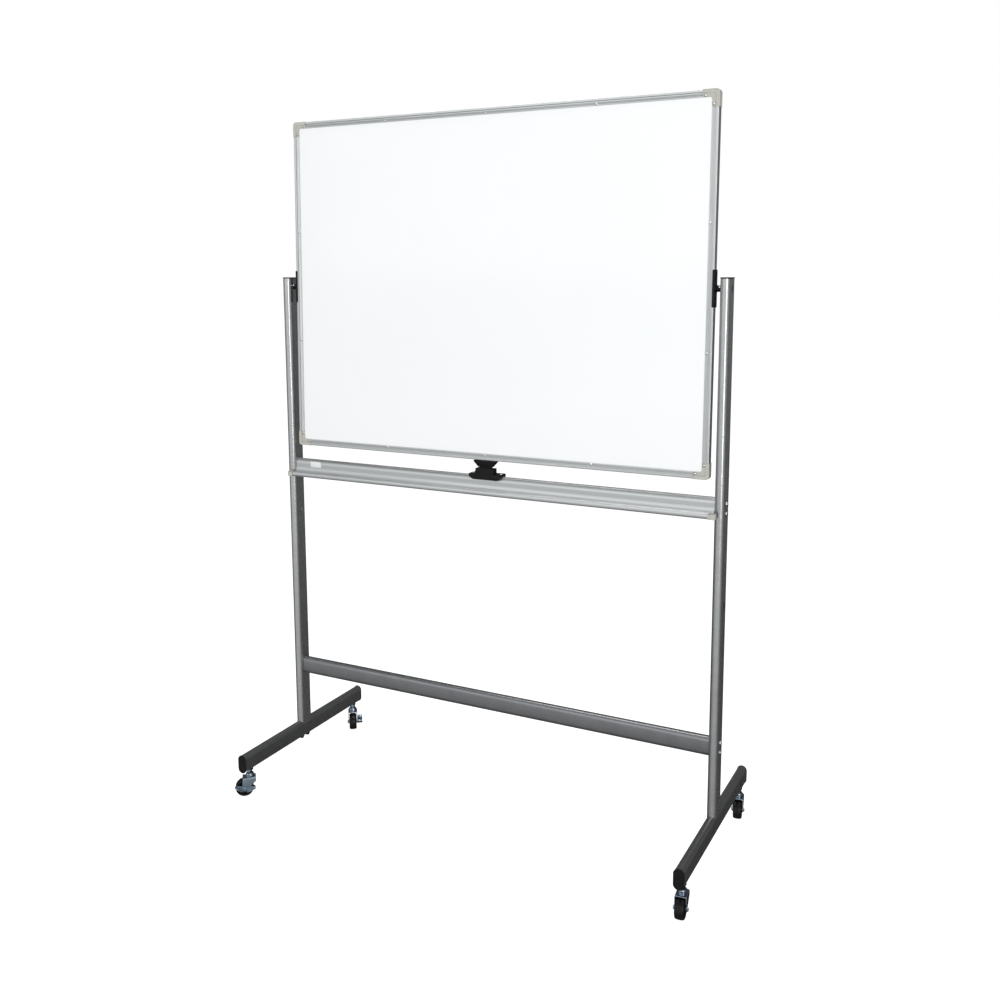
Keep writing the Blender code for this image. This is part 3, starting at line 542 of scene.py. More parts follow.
def make_beams():
    """The silver crossbeam under the board and the darker one near the feet."""
    for name, z, finish_used, slot in (
        ("upper", UPPER_BEAM, SILVER, "silver_paint"),
        ("lower", LOWER_BEAM, DARK_SILVER, "dark_silver_paint"),
    ):
        beam = placed(oval_bar(2 * (INNER_X - GAP)), move(0, 0, z) @ ALONG_X)
        rounded(beam, 0.0003, 1)
        piece(beam, f"{name}_crossbeam_tube", finish_used, "frame", [f"{name}_crossbeam"])


def make_dome_bolt():
    """Dome-head bolt with a hexagon socket, its axis along +X."""
    shank, head, flat, dome = 0.0029, 0.0058, 0.0006, 0.0030
    profile = [(0, -0.004), (shank, -0.004), (shank, 0.0), (head, 0.0)]
    profile += [(head * u, flat + dome * v) for u, v in arc((0, 0), 1.0, 0, 90, 8)]
    bolt = spun(profile, "Z", 32)
    socket = start("cylinder", vertices=6, radius=0.0023, depth=0.004, location=(0, 0, 0.0038))
    carve(bolt, socket)
    rounded(bolt, 0.00015, 1, 50)
    return placed(bolt, Matrix.Rotation(math.pi / 2, 4, "Y"))


def make_bolts():
    """Two bolts at each end of both crossbeams, each stopped at its own turn."""
    bolt = make_dome_bolt()
    for beam, middle_z in (("upper", UPPER_BEAM), ("lower", LOWER_BEAM)):
        for name, side in SIDES.items():
            outwards = Matrix.Rotation(0 if side > 0 else math.pi, 4, "Z")
            for row, up in (("top", 1), ("bottom", -1)):
                stopped = Matrix.Rotation(math.radians(17 * side + 10.8 * up), 4, "X")
                place = move(side * (UPRIGHT_X + TUBE_RADIUS + GAP), 0, middle_z + up * BOLT_RISE)
                node = f"{beam}_beam_bolt_{name}_{row}"
                other = twin(bolt, place @ outwards @ stopped)
                piece(other, f"{node}_head", CHROME, "frame", [node])
    discard(bolt)


def make_side_plugs():
    """Small oblong plugs that close the unused slots in the outer sides of the uprights."""
    for name, side in SIDES.items():
        plug = block((-0.0009, -0.0035, -0.006), (0.0009, 0.0035, 0.006))
        with editing(plug):
            pick(plug, "EDGE", lambda edge: abs(middle(edge).y) > 0.003 and abs(middle(edge).z) > 0.005)
            bpy.ops.mesh.bevel(offset=0.0032, segments=5)
        rounded(plug, 0.0004, 2, 50)
        placed(plug, move(side * (UPRIGHT_X + TUBE_RADIUS), 0, UPPER_BEAM - SIDE_PLUG_BELOW))
        piece(plug, f"{name}_side_plug", BLACK_PLASTIC, "frame")


# ---------------------------------------------------------------- pen tray


TRAY_FRONT = -0.0455
TRAY_FLOOR = 0.8815
TRAY_LIP_TOP = 0.8905
TRAY_SHEET = 0.0012
TRAY_BEND = 0.020


def tray_outline():
    """Section in Y and Z: a hook over the beam, a wall, a bend, a floor and a thickened lip."""
    ridge = UPPER_BEAM + TUBE_BROAD / 2 - TUBE_RADIUS
    inner = TUBE_RADIUS + GAP
    outer = inner + TRAY_SHEET
    bend = (-outer - TRAY_BEND, TRAY_FLOOR + TRAY_SHEET + TRAY_BEND)
    back = TRAY_FRONT + 0.0030
    low = TRAY_FLOOR - 0.0030
    half = (TRAY_LIP_TOP - low) / 2
    nose = 0.0022
    lip = [(back, TRAY_FLOOR + TRAY_SHEET), (back, TRAY_LIP_TOP - 0.0008), (back - 0.0008, TRAY_LIP_TOP)]
    for u, v in arc((0, 0), 1.0, 90, 270, 14):
        lip.append((TRAY_FRONT + nose + nose * u, low + half + half * v))
    lip += [(back, low), (back, TRAY_FLOOR)]
    hook = arc((0, ridge), outer, 75, 180, 28) + arc(bend, TRAY_BEND, 0, -80, 24)
    under = arc(bend, TRAY_BEND + TRAY_SHEET, -80, 0, 24) + arc((0, ridge), inner, 180, 75, 28)
    return hook + lip + under


def make_tray():
    """Extruded tray between the uprights, a cap on each end of its lip, and its small label."""
    tray = placed(outline_bar(tray_outline(), 2 * (INNER_X - GAP)), ALONG_X)
    piece(tray, "pen_tray_profile", RAIL_X, "frame", ["pen_tray"], 25)
    for name, side in SIDES.items():
        make_tray_cap(name, side)
    label = outline_bar(rounded_rectangle(0.0180, 0.0080, 0.0012), 0.0002)
    placed(label, move(-0.547, -0.0141, 0.9110) @ ALONG_Y)
    piece(label, "tray_label", LABEL, "frame")


def rounded_rectangle(half_x, half_y, radius):
    """Outline of a rectangle with round corners, centred."""
    points = []
    for way_x, way_y, angle in ((1, 1, 0), (-1, 1, 90), (-1, -1, 180), (1, -1, 270)):
        points += arc((way_x * (half_x - radius), way_y * (half_y - radius)), radius, angle, angle + 90, 5)
    return points


def make_tray_cap(name, side):
    """Moulded cap over the end of the lip, with two shallow grip grooves."""
    low_z, high_z = TRAY_FLOOR - 0.0038, TRAY_LIP_TOP + 0.0008
    mid_z = (low_z + high_z) / 2
    front, back = TRAY_FRONT - 0.0010, TRAY_FRONT + 0.0150
    cap = block((0.6065, front, low_z), (0.6245, back, high_z))
    with editing(cap):
        pick(cap, "EDGE", lambda edge: middle(edge).x > 0.624 and abs(middle(edge).z - mid_z) < 0.001)
        bpy.ops.mesh.bevel(offset=0.0045, segments=6)
        pick(cap, "EDGE", lambda edge: middle(edge).y < front + 1e-5 and reach(edge, "x") > 0.01)
        bpy.ops.mesh.bevel(offset=0.0032, segments=5)
    rounded(cap, 0.0008, 2, 50)
    lip_low = TRAY_FLOOR - 0.0030
    room = block((0.600, TRAY_FRONT - GAP, lip_low - GAP), (0.6151, back + 0.005, TRAY_LIP_TOP + GAP))
    grooves = [
        block((x - 0.0004, front - 0.001, low_z + 0.002), (x + 0.0004, front + 0.0004, high_z - 0.002))
        for x in (0.6100, 0.6125)
    ]
    carve(cap, room, *grooves)
    if side < 0:
        placed(cap, Matrix.Diagonal((-1, 1, 1, 1)))
    piece(cap, f"tray_lip_cap_{name}", GREY_PLASTIC, "frame", [f"tray_end_cap_{name}"])


# ---------------------------------------------------------------- latch


LATCH_Y = -0.0080
LATCH_FRONT, LATCH_BACK = -0.0190, 0.0165
LATCH_EAR, LATCH_SKIRT = 0.0460, 0.0355
LATCH_EAR_LOW, LATCH_EAR_TOP, LATCH_SKIRT_LOW = 0.9225, 0.9300, 0.9155
LATCH_SHOE_TOP = 0.9660
LATCH_SCREW = (0.0405, 0.9302)


def make_latch():
    """Saddle base with its block, pocket and slots, and the flared shoe over it. Its screws are set with the
    board's screws.
    """
    front, back = LATCH_FRONT, LATCH_BACK
    ridge = UPPER_BEAM + TUBE_BROAD / 2 - TUBE_RADIUS
    outline = [
        (-LATCH_EAR, LATCH_EAR_TOP),
        (-LATCH_EAR, LATCH_EAR_LOW),
        (-LATCH_SKIRT, LATCH_SKIRT_LOW),
        (LATCH_SKIRT, LATCH_SKIRT_LOW),
        (LATCH_EAR, LATCH_EAR_LOW),
        (LATCH_EAR, LATCH_EAR_TOP),
    ]
    base = placed(outline_bar(outline, back - front), move(y=(back + front) / 2) @ ALONG_Y)
    fuse(base, block((-0.026, front - 0.0002, 0.9160), (0.026, 0.0030, 0.9450)))
    webs = [block((x - 0.0011, 0.0028, 0.925), (x + 0.0011, 0.0095, 0.9400)) for x in (-0.020, 0, 0.020)]
    fuse(base, *webs)
    rounded(base, 0.0011, 3)
    saddle = TUBE_RADIUS + TRAY_SHEET + 2 * GAP
    over = rod(saddle, (-0.1, 0, ridge), (0.1, 0, ridge), "X", 64)
    below = block((-0.1, -saddle, ridge - 0.02), (0.1, saddle, ridge))
    pocket = block((-0.017, LATCH_Y - 0.0065, 0.9272), (0.017, LATCH_Y + 0.0065, 0.950))
    slots = [
        block((x - 0.0006, front - 0.002, 0.9200), (x + 0.0006, front + 0.0002, 0.9420))
        for x in (-0.021, 0.021)
    ]
    carve(base, over, below, pocket, *slots)
    piece(base, "latch_saddle", BLACK_PLASTIC, "frame", ["latch_base"], 30)

    shoe = block((-0.032, LATCH_Y - 0.010, 0.9632), (0.032, LATCH_Y + 0.010, LATCH_SHOE_TOP))
    with editing(shoe):
        pick(shoe, "FACE", lambda face: face.normal.z < -0.5)
        bpy.ops.mesh.extrude_region_move(TRANSFORM_OT_translate={"value": (0, 0, -0.0142)})
        bpy.ops.transform.resize(value=(0.62, 0.75, 1), center_override=(0, LATCH_Y, 0.949))
        pick(shoe, "FACE", lambda face: face.normal.z > 0.5)
        bpy.ops.mesh.inset(thickness=0.0018, depth=0.0)
        bpy.ops.mesh.inset(thickness=0.0008, depth=-0.0008)
    rounded(shoe, 0.0006, 2)
    stem = block((-0.0165, LATCH_Y - 0.006, 0.9385), (0.0165, LATCH_Y + 0.006, 0.9510))
    fuse(shoe, rounded(stem, 0.0004, 1))
    piece(shoe, "latch_flared_shoe", BLACK_PLASTIC, "latch", ["latch_shoe"], 30)


# ---------------------------------------------------------------- board


def finish_packed_pieces():
    """The core, the writing sheets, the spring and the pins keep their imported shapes."""
    kept = {"writing_sheet_front": ENAMEL, "writing_sheet_back": ENAMEL, "board_core": CORE}
    kept.update(dict.fromkeys(("latch_spring", "pivot_pin_left", "pivot_pin_right"), ZINC))
    for name, used in kept.items():
        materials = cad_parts[name].data.materials
        materials.clear()
        materials.append(used)


def rail_outline():
    """Rail section, u outwards up to its outer face and v through the board: fine grooves and a rim."""
    step = RAIL_HALF_DEPTH - RAIL_STEP
    side = [(-RAIL_FACE, -PANEL_HALF)]
    side += arc((-RAIL_FACE + 0.0007, -step + 0.0007), 0.0007, 180, 270, 4)
    for groove in (0.0085, 0.0068, 0.0051):
        u = -RIM - groove
        side += [(u, -step), (u + 0.0006, -step + 0.0005), (u + 0.0012, -step)]
    side += [(-RIM - 0.0030, -step), (-RIM - 0.0026, -step + 0.0018), (-RIM - 0.0004, -step + 0.0018)]
    side += arc((-RIM + 0.0006, -RAIL_HALF_DEPTH + 0.0010), 0.0010, 180, 270, 4)
    side += arc((-0.0014, -RAIL_HALF_DEPTH + 0.0014), 0.0014, 270, 360, 5)
    other = [(u, -v) for u, v in reversed(side)]
    return side + other + [(-0.0012, PANEL_HALF), (-0.0012, -PANEL_HALF)]


def make_rails():
    """Four extruded rails between the corner pieces. Their screws on both faces are set with the corners."""
    rail_x, rail_z = BOARD_HALF[0] - RAIL_PROUD, BOARD_HALF[1] - RAIL_PROUD
    reach_x, reach_z = BOARD_HALF[0] - CORNER_ARM - GAP, BOARD_HALF[1] - CORNER_ARM - GAP
    upper = Matrix(((0, 0, -1), (0, 1, 0), (1, 0, 0))).to_4x4()
    lower = Matrix(((0, 0, 1), (0, 1, 0), (-1, 0, 0))).to_4x4()
    right = Matrix.Identity(4)
    left = Matrix.Diagonal((-1, 1, -1, 1))
    for name, turn, length, place, used in (
        ("top", upper, reach_x, (0, 0, rail_z), RAIL_X),
        ("bottom", lower, reach_x, (0, 0, -rail_z), RAIL_X),
        ("right", right, reach_z, (rail_x, 0, 0), RAIL_Z),
        ("left", left, reach_z, (-rail_x, 0, 0), RAIL_Z),
    ):
        rail = placed(outline_bar(rail_outline(), 2 * length), BOARD @ move(*place) @ turn)
        piece(rail, f"{name}_rail_profile", used, "board", [f"{name}_rail"], 25)


def corner_outline(band):
    """L-shaped outline for the right upper corner, this wide from the outer edge inwards."""
    x, z = BOARD_HALF
    outer = arc((x - CORNER_RADIUS, z - CORNER_RADIUS), CORNER_RADIUS, 0, 90, 10)
    low_x, low_z = x - CORNER_ARM, z - CORNER_ARM
    hollow = 0.0060
    inner = arc((x - band - hollow, z - band - hollow), hollow, 90, 0, 6)
    return [(x - band, low_z), (x, low_z)] + outer + [(low_x, z), (low_x, z - band)] + inner


def make_corner_master():
    """Moulded corner: a raised band round the outside and a lower flange with two screw seats a side."""
    flange = placed(outline_bar(corner_outline(CORNER_FACE), 0.0180), ALONG_Y)
    band = placed(outline_bar(corner_outline(CORNER_BAND), 0.0216), ALONG_Y)
    rounded(band, 0.0008, 3, 50)
    rounded(flange, 0.0006, 2, 50)
    fuse(band, flange)
    x, z = BOARD_HALF
    room = block((x - 0.08, -PANEL_HALF, z - 0.08), (x - 0.0026, PANEL_HALF, z - 0.0026))
    along, across = CORNER_SCREW
    seats = []
    for way in (-1, 1):
        start_y, end_y = sorted((way * 0.0078, way * 0.012))
        for seat_x, seat_z in ((x - along, z - across), (x - across, z - along)):
            seats.append(rod(0.0043, (seat_x, start_y, seat_z), (seat_x, end_y, seat_z), "Y", 28))
    carve(band, room, *seats)
    return band


def make_pan_screw():
    """Small pan-head screw with a cross recess, its head towards -Y."""
    head = [(0.0031 * u, 0.0017 * v) for u, v in arc((0, 0), 1.0, 0, 90, 6)]
    screw = spun([(0, -0.0010), (0.0031, -0.0010)] + head, "Z", 24)
    cross = [
        block((-0.0017, -0.0004, 0.0009), (0.0017, 0.0004, 0.003)),
        block((-0.0004, -0.0017, 0.0009), (0.0004, 0.0017, 0.003)),
    ]
    carve(screw, *cross)
    return placed(screw, Matrix.Rotation(math.pi / 2, 4, "X"))


def make_corners_and_screws():
    """Four corners from one, and the same screw wherever there is one. Gives the screw back."""
    corner = make_corner_master()
    screw = make_pan_screw()
    x, z = BOARD_HALF
    along, across = CORNER_SCREW
    corner_y, rail_y = 0.0079, RAIL_HALF_DEPTH - RAIL_STEP
    spots = {}
    for row, up in (("top", 1), ("bottom", -1)):
        for name, side in SIDES.items():
            node = f"corner_{row}_{name}"
            other = twin(corner, BOARD @ Matrix.Diagonal((side, 1, up, 1)))
            piece(other, f"corner_piece_{row}_{name}", GREY_PLASTIC, "board", [node])
            spots[f"{node}_a"] = (side * (x - along), up * (z - across), corner_y)
            spots[f"{node}_b"] = (side * (x - across), up * (z - along), corner_y)
        for place, rail_x in (("left", -0.30), ("middle", 0.0), ("right", 0.30)):
            spots[f"{row}_rail_{place}"] = (rail_x, up * (z - RAIL_SCREW), rail_y)
    discard(corner)
    for name, side in SIDES.items():
        for row, up in (("upper", 1), ("lower", -1)):
            spots[f"{name}_rail_{row}"] = (side * (x - RAIL_SCREW), up * 0.15, rail_y)
    for i, (name, (at_x, at_z, depth)) in enumerate(spots.items()):
        for face, way in ENDS.items():
            face_turn = Matrix.Rotation(0 if way < 0 else math.pi, 4, "Z")
            own_turn = Matrix.Rotation(0.7 * i + way, 4, "Y")
            place = BOARD @ move(at_x, way * depth, at_z) @ face_turn @ own_turn
            piece(twin(screw, place), f"screw_{name}_{face}", CHROME, "board")
    for i, side in enumerate(SIDES.values()):
        upwards = Matrix.Rotation(-math.pi / 2, 4, "X") @ Matrix.Scale(1.25, 4)
        place = move(side * LATCH_SCREW[0], 0, LATCH_SCREW[1]) @ upwards
        piece(twin(screw, place), f"latch_screw_{i}", CHROME, "frame")
    return screw


def make_brackets(screw):
    """Black channel clasping each side rail, with a stepped hub, rivets and a locking screw."""
    web = BOARD_HALF[0] - RAIL_PROUD + GAP
    near, far = RAIL_HALF_DEPTH + GAP, RAIL_HALF_DEPTH + GAP + 0.0015
    lip_end = web - 0.0045
    half = [(web, near), (lip_end, near), (lip_end, far)]
    half += arc((web + 0.0002, far - 0.0013), 0.0013, 90, 0, 5)
    outline = half + [(u, -v) for u, v in reversed(half)]
    channel = outline_bar(outline, 0.087)

    def at_lip_corner(spot):
        return spot.x < lip_end + 0.0005 and abs(spot.z) > 0.043

    with editing(channel):
        pick(channel, "EDGE", lambda edge: at_lip_corner(middle(edge)) and reach(edge, "x") < 1e-5)
        bpy.ops.mesh.bevel(offset=0.0016, segments=4)
    rounded(channel, 0.0003, 1)
    end = INNER_X - GAP
    hub = spun(
        [
            (0.0044, web + 0.0008),
            (0.0098, web + 0.0008),
            (0.0098, web + 0.0034),
            (0.0090, web + 0.0042),
            (0.0075, web + 0.0046),
            (0.0075, end - 0.0008),
            (0.0069, end),
            (0.0044, end),
        ],
        "X",
        40,
    )
    fuse(channel, hub)
    carve(channel, rod(0.0044, (web - 0.003, 0, 0), (end + 0.01, 0, 0), "X", 32))
    heads = []
    for z in (-0.036, -0.024, 0.024, 0.036):
        heads.append(spun([(0, 0), (0.0034, 0), (0.0034, 0.0006), (0.0024, 0.0014), (0, 0.0017)], "X", 20))
        placed(heads[-1], move(web + 0.0014, 0, z))
    for name, side in SIDES.items():
        mirror = Matrix.Diagonal((side, 1, 1, 1))
        node = f"pivot_bracket_{name}"
        other = twin(channel, BOARD @ mirror)
        piece(other, f"{node}_channel", BLACK_STEEL, "board", [node])
        for i, head in enumerate(heads):
            rivet = twin(head, BOARD @ mirror)
            piece(rivet, f"pivot_rivet_{name}_{i}", BLACK_STEEL, "board")
        place = BOARD @ move(side * (end - 0.0035), -0.0072, 0.0035) @ Matrix.Scale(0.85, 4)
        piece(twin(screw, place), f"hub_screw_{name}", CHROME, "board")
    for obj in (channel, *heads):
        discard(obj)


# ---------------------------------------------------------------- casters


def make_caster_stem():
    """Flange and nut under the foot, and the rivet end under the fork."""
    plate_low = FORK_TOP - FORK_SHEET - GAP
    stem = spun(
        [
            (0, 0.014),
            (0.0040, 0.014),
            (0.0040, 0.0005),
            (0.0095, 0.0005),
            (0.0095, -0.0020),
            (0.0088, -0.0026),
            (0.0040, -0.0026),
            (0.0040, plate_low),
            (0.0065, plate_low),
            (0.0060, plate_low - 0.0018),
            (0.0045, plate_low - 0.0030),
            (0, plate_low - 0.0030),
        ],
        steps=36,
    )
    nut = start("cylinder", vertices=6, radius=0.0076, depth=0.0078, location=(0, 0, -0.0064))
    fuse(stem, rounded(nut, 0.0006, 2))
    return stem


def make_caster_fork():
    """Pressed fork: a bent strip trimmed to its side profile, with a ball race on top."""
    outer = FORK_HALF + FORK_SHEET
    bend = 0.0036
    low = AXLE_Z - 0.02
    inner_bend = bend - FORK_SHEET
    right_out = [(outer, low)] + arc((outer - bend, FORK_TOP - bend), bend, 0, 90, 6)
    right_in = arc((FORK_HALF - inner_bend, FORK_TOP - bend), inner_bend, 90, 0, 4) + [(FORK_HALF, low)]
    section = right_out + [(-u, v) for u, v in reversed(right_out)]
    section += [(-u, v) for u, v in reversed(right_in)] + right_in
    strip = placed(outline_bar(section, 0.06), ALONG_X)
    side = [(-0.0160, FORK_TOP + 0.001), (-0.0160, FORK_TOP - 0.0060)]
    side += arc((-0.0130, FORK_TOP - 0.0095), 0.0030, 180, 225, 3)
    side += arc((TRAIL, AXLE_Z), 0.0070, 215, 375, 12)
    side += arc((0.0175, FORK_TOP - 0.003), 0.0030, 0, 30, 2) + [(0.0195, FORK_TOP + 0.001)]
    profile = placed(outline_bar(side, 0.05), ALONG_Y)
    fork = carve(strip, profile, operation="INTERSECT")
    with editing(fork):
        pick(fork, "EDGE", lambda edge: edge.calc_face_angle(0) > 1.2)
        bpy.ops.mesh.bevel(offset=0.00035, segments=1)
    race = spun(
        [
            (0.0046, -0.0108),
            (0.0086, -0.0108),
            (0.0100, -0.0116),
            (0.0112, -0.0134),
            (0.0114, -0.0146),
            (0.0108, -0.0152),
            (0.0101, -0.0158),
            (0.0110, -0.0166),
            (0.0120, -0.0176),
            (0.0122, -0.0196),
            (0.0120, FORK_TOP - 0.0004),
            (0.0046, FORK_TOP - 0.0004),
        ],
        steps=40,
    )
    fuse(fork, race)
    through = rod(0.0046, (0, 0, FORK_TOP - 0.01), (0, 0, 0.0), "Z", 28)
    axle = rod(0.0038, (TRAIL, -0.03, AXLE_Z), (TRAIL, 0.03, AXLE_Z), "Y", 24)
    return carve(fork, through, axle)


def make_caster_wheel():
    """Moulded wheel with a crowned tread, a recessed web with ribs and a hub, on its own centre."""
    half, web = 0.01125, 0.0062
    side = [
        (0.0038, half + 0.0004),
        (0.0074, half + 0.0004),
        (0.0080, half - 0.0002),
        (0.0086, web),
        (0.0176, web),
        (0.0185, half - 0.0016),
        (0.0196, half - 0.0004),
        (0.0212, half),
        (0.0224, half - 0.0004),
        (0.0234, half - 0.0015),
        (0.0242, half - 0.0031),
        (0.0248, half - 0.0055),
        (0.0250, half - 0.0085),
    ]
    wheel = spun(side + [(radius, -place) for radius, place in reversed(side)], "Y", 64)
    ribs = []
    for i in range(5):
        rib = block((0.0078, -0.0096, -0.0008), (0.0184, 0.0096, 0.0008))
        ribs.append(placed(rib, Matrix.Rotation(2 * math.pi * i / 5, 4, "Y")))
    return fuse(wheel, *ribs)


def make_caster_axle(braked):
    """Axle bolt with a round head on one side and a nut on the other."""
    leg = FORK_HALF + FORK_SHEET + GAP
    head = leg + (0.0024 if braked else 0.0)
    axle = spun(
        [
            (0, -leg - 0.0030),
            (0.0036, -leg - 0.0028),
            (0.0052, -leg - 0.0016),
            (0.0055, -leg),
            (0.0035, -leg),
            (0.0035, head),
            (0.0055, head),
            (0.0055, head + 0.0006),
            (0.0030, head + 0.0006),
            (0.0030, head + 0.0035),
            (0, head + 0.0035),
        ],
        "Y",
        32,
    )
    nut = start(
        "cylinder",
        vertices=6,
        radius=0.0054,
        depth=0.0024,
        location=(0, head + 0.0018, 0),
        rotation=(math.pi / 2, 0, 0),
    )
    return fuse(axle, rounded(nut, 0.0004, 2))


def make_brake_lever():
    """Rocker pedal: a boomerang plate on the axle with a tread along each wing and a curled toe."""
    inner = FORK_HALF + FORK_SHEET + 2 * GAP
    rise = math.radians(28)
    wing = [(0.0045, -0.0072), (0.0262, -0.0072), (0.0262, -0.0040), (0.0240, -0.0018), (0.0100, 0.0036)]
    lifted = [
        (x * math.cos(rise) - z * math.sin(rise), x * math.sin(rise) + z * math.cos(rise)) for x, z in wing
    ]
    top = arc((0, 0), 0.0082, 58, 122, 6)
    outline = [(0, -0.0080)] + lifted + top + [(-x, z) for x, z in reversed(lifted)]
    plate = placed(outline_bar(outline, 0.0018), move(y=inner + 0.0009) @ ALONG_Y)
    parts = []
    for way, curl in ((1, 0.0016), (-1, 0.0036)):
        turn = Matrix.Rotation(-rise, 4, "Y")
        tread = block((0.0046, inner + 0.0002, -0.0073), (0.0262, inner + 0.0149, -0.0055))
        rounded(tread, 0.0005, 2, 50)
        roll = rod(curl, (0.0262, inner + 0.0010, curl - 0.0074), (0.0262, inner + 0.0146, curl - 0.0074), "Y", 24)
        rounded(roll, 0.0005, 2, 50)
        for obj in (tread, roll):
            placed(obj, turn)
            if way < 0:
                placed(obj, Matrix.Diagonal((-1, 1, 1, 1)))
            parts.append(obj)
    fuse(plate, *parts)
    return carve(plate, rod(0.0038, (0, 0, 0), (0, 0.03, 0), "Y", 24))


def make_casters():
    """Four casters, each turned its own way. The two on the left have brake levers."""
    stem = make_caster_stem()
    fork = make_caster_fork()
    wheel = make_caster_wheel()
    axles = {True: make_caster_axle(True), False: make_caster_axle(False)}
    lever = make_brake_lever()
    for name, heading in HEADINGS.items():
        side_name, end = name.split("_")
        turn = Matrix.Rotation(math.radians(heading), 4, "Z")
        place = move(SIDES[side_name] * UPRIGHT_X, ENDS[end] * CASTER_Y, FOOT_LOW) @ turn
        hub = place @ move(TRAIL, 0, AXLE_Z)
        braked = side_name == "left"
        rows = [
            (stem, place, "stem", "frame", ZINC, "bright_zinc"),
            (fork, place, "fork", f"swivel_{name}", ZINC, "bright_zinc"),
            (axles[braked], hub, "axle", f"swivel_{name}", ZINC, "bright_zinc"),
            (wheel, hub, "wheel", f"wheel_{name}", TYRE, "black_rubber"),
        ]
        for obj, matrix, kind, body, used, slot in rows:
            other = twin(obj, matrix)
            piece(other, f"{kind}_{name}", used, body, [f"caster_{kind}_{name}"])
        if braked:
            other = twin(lever, hub @ Matrix.Rotation(BRAKE_REST, 4, "Y"))
            piece(other, f"brake_pedal_{name}", ZINC, f"brake_{name}", [f"brake_lever_{name}"])
    for obj in (stem, fork, wheel, lever, *axles.values()):
        discard(obj)


# ---------------------------------------------------------------- room, lights and camera


def make_floor():
    """Plain pale floor that gives a little light, so that it is as white as the room."""
    floor = start("plane", size=60)
    floor.name = "floor"
    material = bpy.data.materials.new("pale_floor")
    material.use_nodes = True
    shader = material.node_tree.nodes["Principled BSDF"]
    shader.inputs["Base Color"].default_value = (0.4, 0.4, 0.4, 1)
    shader.inputs["Roughness"].default_value = 0.7
    shader.inputs["Emission Color"].default_value = (1, 1, 1, 1)
    shader.inputs["Emission Strength"].default_value = 0.93
    floor.data.materials.append(material)
    floor.visible_glossy = False


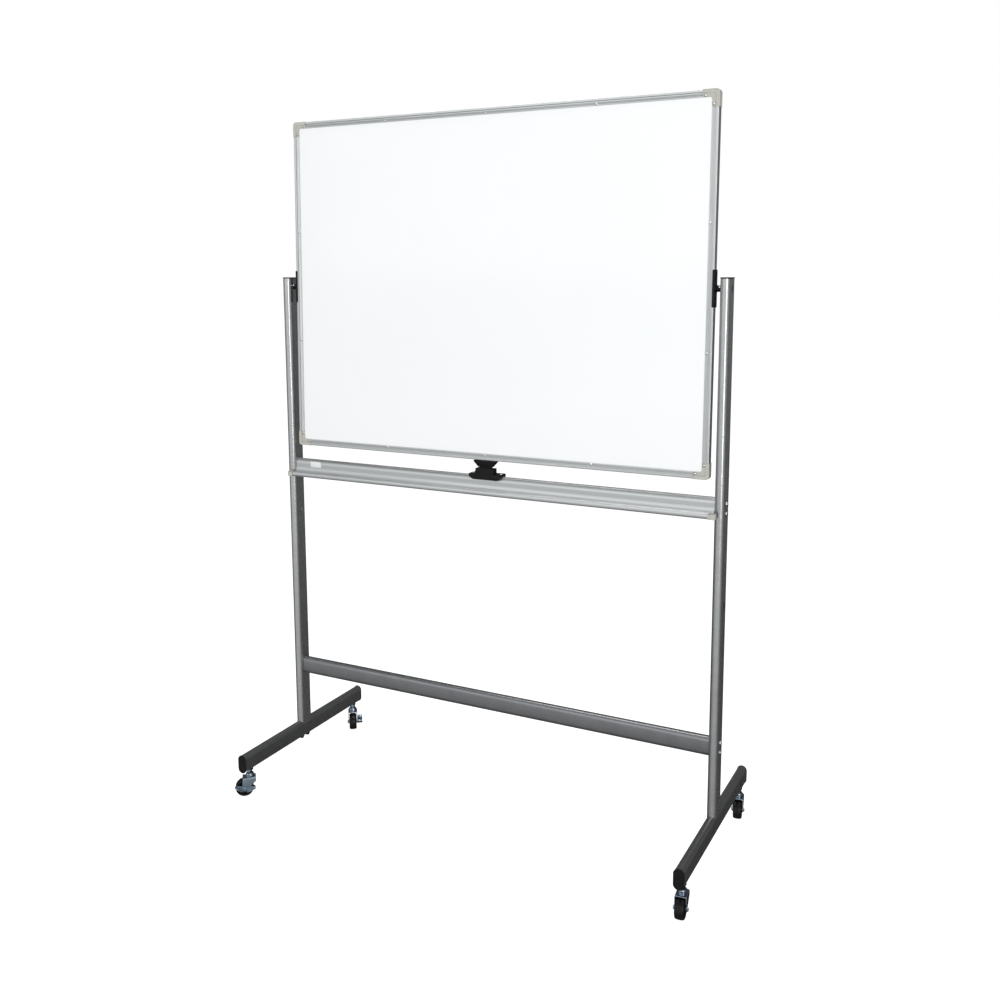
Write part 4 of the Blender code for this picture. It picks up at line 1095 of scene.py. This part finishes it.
def make_world():
    """White to the eye. For the metal to reflect: pale to the front right, dim behind and below."""
    world = bpy.data.worlds.new("studio")
    bpy.context.scene.world = world
    world.use_nodes = True
    tree = world.node_tree
    tree.nodes.clear()
    place = tree.nodes.new("ShaderNodeTexCoord")
    split = tree.nodes.new("ShaderNodeSeparateXYZ")
    facing = tree.nodes.new("ShaderNodeVectorMath")
    facing.operation = "DOT_PRODUCT"
    facing.inputs[1].default_value = (0.09, -0.996, 0)
    pale = tree.nodes.new("ShaderNodeMapRange")
    fade = tree.nodes.new("ShaderNodeMapRange")
    height = tree.nodes.new("ShaderNodeMapRange")
    for node, limits in (
        (pale, (-0.20, 1.0, 0.0, 0.80)),
        (fade, (-0.75, -0.10, 0.12, 1.0)),
        (height, (-0.38, 0.06, 0.02, 0.13)),
    ):
        node.interpolation_type = "SMOOTHSTEP"
        for label, value in zip(("From Min", "From Max", "To Min", "To Max"), limits):
            node.inputs[label].default_value = value
    both = tree.nodes.new("ShaderNodeMath")
    both.operation = "MULTIPLY_ADD"
    tint = tree.nodes.new("ShaderNodeMix")
    tint.data_type = "RGBA"
    tint.inputs["A"].default_value = (0.014, 0.010, 0.007, 1)
    tint.inputs["B"].default_value = (0.96, 0.985, 1.0, 1)
    lit = tree.nodes.new("ShaderNodeBackground")
    seen = tree.nodes.new("ShaderNodeBackground")
    seen.inputs["Color"].default_value = (1, 1, 1, 1)
    path = tree.nodes.new("ShaderNodeLightPath")
    mix = tree.nodes.new("ShaderNodeMixShader")
    out = tree.nodes.new("ShaderNodeOutputWorld")
    tree.links.new(place.outputs["Generated"], split.inputs["Vector"])
    tree.links.new(place.outputs["Generated"], facing.inputs[0])
    tree.links.new(facing.outputs["Value"], pale.inputs["Value"])
    tree.links.new(split.outputs["Z"], height.inputs["Value"])
    tree.links.new(pale.outputs["Result"], both.inputs[0])
    tree.links.new(split.outputs["Z"], fade.inputs["Value"])
    tree.links.new(fade.outputs["Result"], both.inputs[1])
    tree.links.new(height.outputs["Result"], both.inputs[2])
    tree.links.new(both.outputs["Value"], tint.inputs["Factor"])
    tree.links.new(tint.outputs["Result"], lit.inputs["Color"])
    tree.links.new(path.outputs["Is Camera Ray"], mix.inputs["Fac"])
    tree.links.new(lit.outputs["Background"], mix.inputs[1])
    tree.links.new(seen.outputs["Background"], mix.inputs[2])
    tree.links.new(mix.outputs["Shader"], out.inputs["Surface"])


def make_light(name, place, aim, size, power):
    light = bpy.data.lights.new(name, "AREA")
    light.shape = "RECTANGLE"
    light.size, light.size_y = size
    light.energy = power
    lamp = bpy.data.objects.new(name, light)
    lamp.location = place
    lamp.rotation_euler = (Vector(aim) - Vector(place)).to_track_quat("-Z", "Y").to_euler()
    bpy.context.scene.collection.objects.link(lamp)


def make_lights():
    """A tall box to the right of the camera, one overhead and a weak one filling from the left."""
    make_light("tall_softbox", (2.9, -3.0, 1.5), (0, 0, 1.2), (0.7, 2.6), 34)
    make_light("overhead", (0, 0.3, 3.8), (0, 0, 0), (3.2, 1.3), 60)
    make_light("front_fill", (-1.4, -4.6, 3.0), (0, 0, 1.3), (4.5, 3.0), 24)


def make_camera():
    """To the right of the board, at its middle height, looking slightly down."""
    camera = bpy.data.cameras.new("view")
    camera.sensor_width = 36
    camera.lens = 38.166
    camera.shift_y = -0.0786
    eye = bpy.data.objects.new("view", camera)
    yaw, pitch, roll = 0.4716, -0.1421, -0.0037
    turn = Matrix.Rotation(yaw, 3, "Z") @ Matrix.Rotation(math.pi / 2 + pitch, 3, "X")
    eye.rotation_euler = (turn @ Matrix.Rotation(roll, 3, "Z")).to_euler()
    eye.location = (1.2788, -2.4334, 1.4612)
    bpy.context.scene.collection.objects.link(eye)
    bpy.context.scene.camera = eye


def main():
    make_camera()
    finish_packed_pieces()
    for name, side in SIDES.items():
        make_upright(name, side)
        top = (side * UPRIGHT_X, 0, UPRIGHT_TOP - CAP_THICK / 2)
        make_end_plug(top, Matrix.Identity(4), f"{name}_post_plug", f"{name}_upright_cap")
        make_foot(name, side)
    make_foot_bolts()
    make_beams()
    make_bolts()
    make_side_plugs()
    make_tray()
    make_latch()
    make_rails()
    screw = make_corners_and_screws()
    make_brackets(screw)
    discard(screw)
    make_casters()
    make_floor()
    make_world()
    make_lights()
    bpy.context.scene.view_settings.view_transform = "Standard"


main()
take()
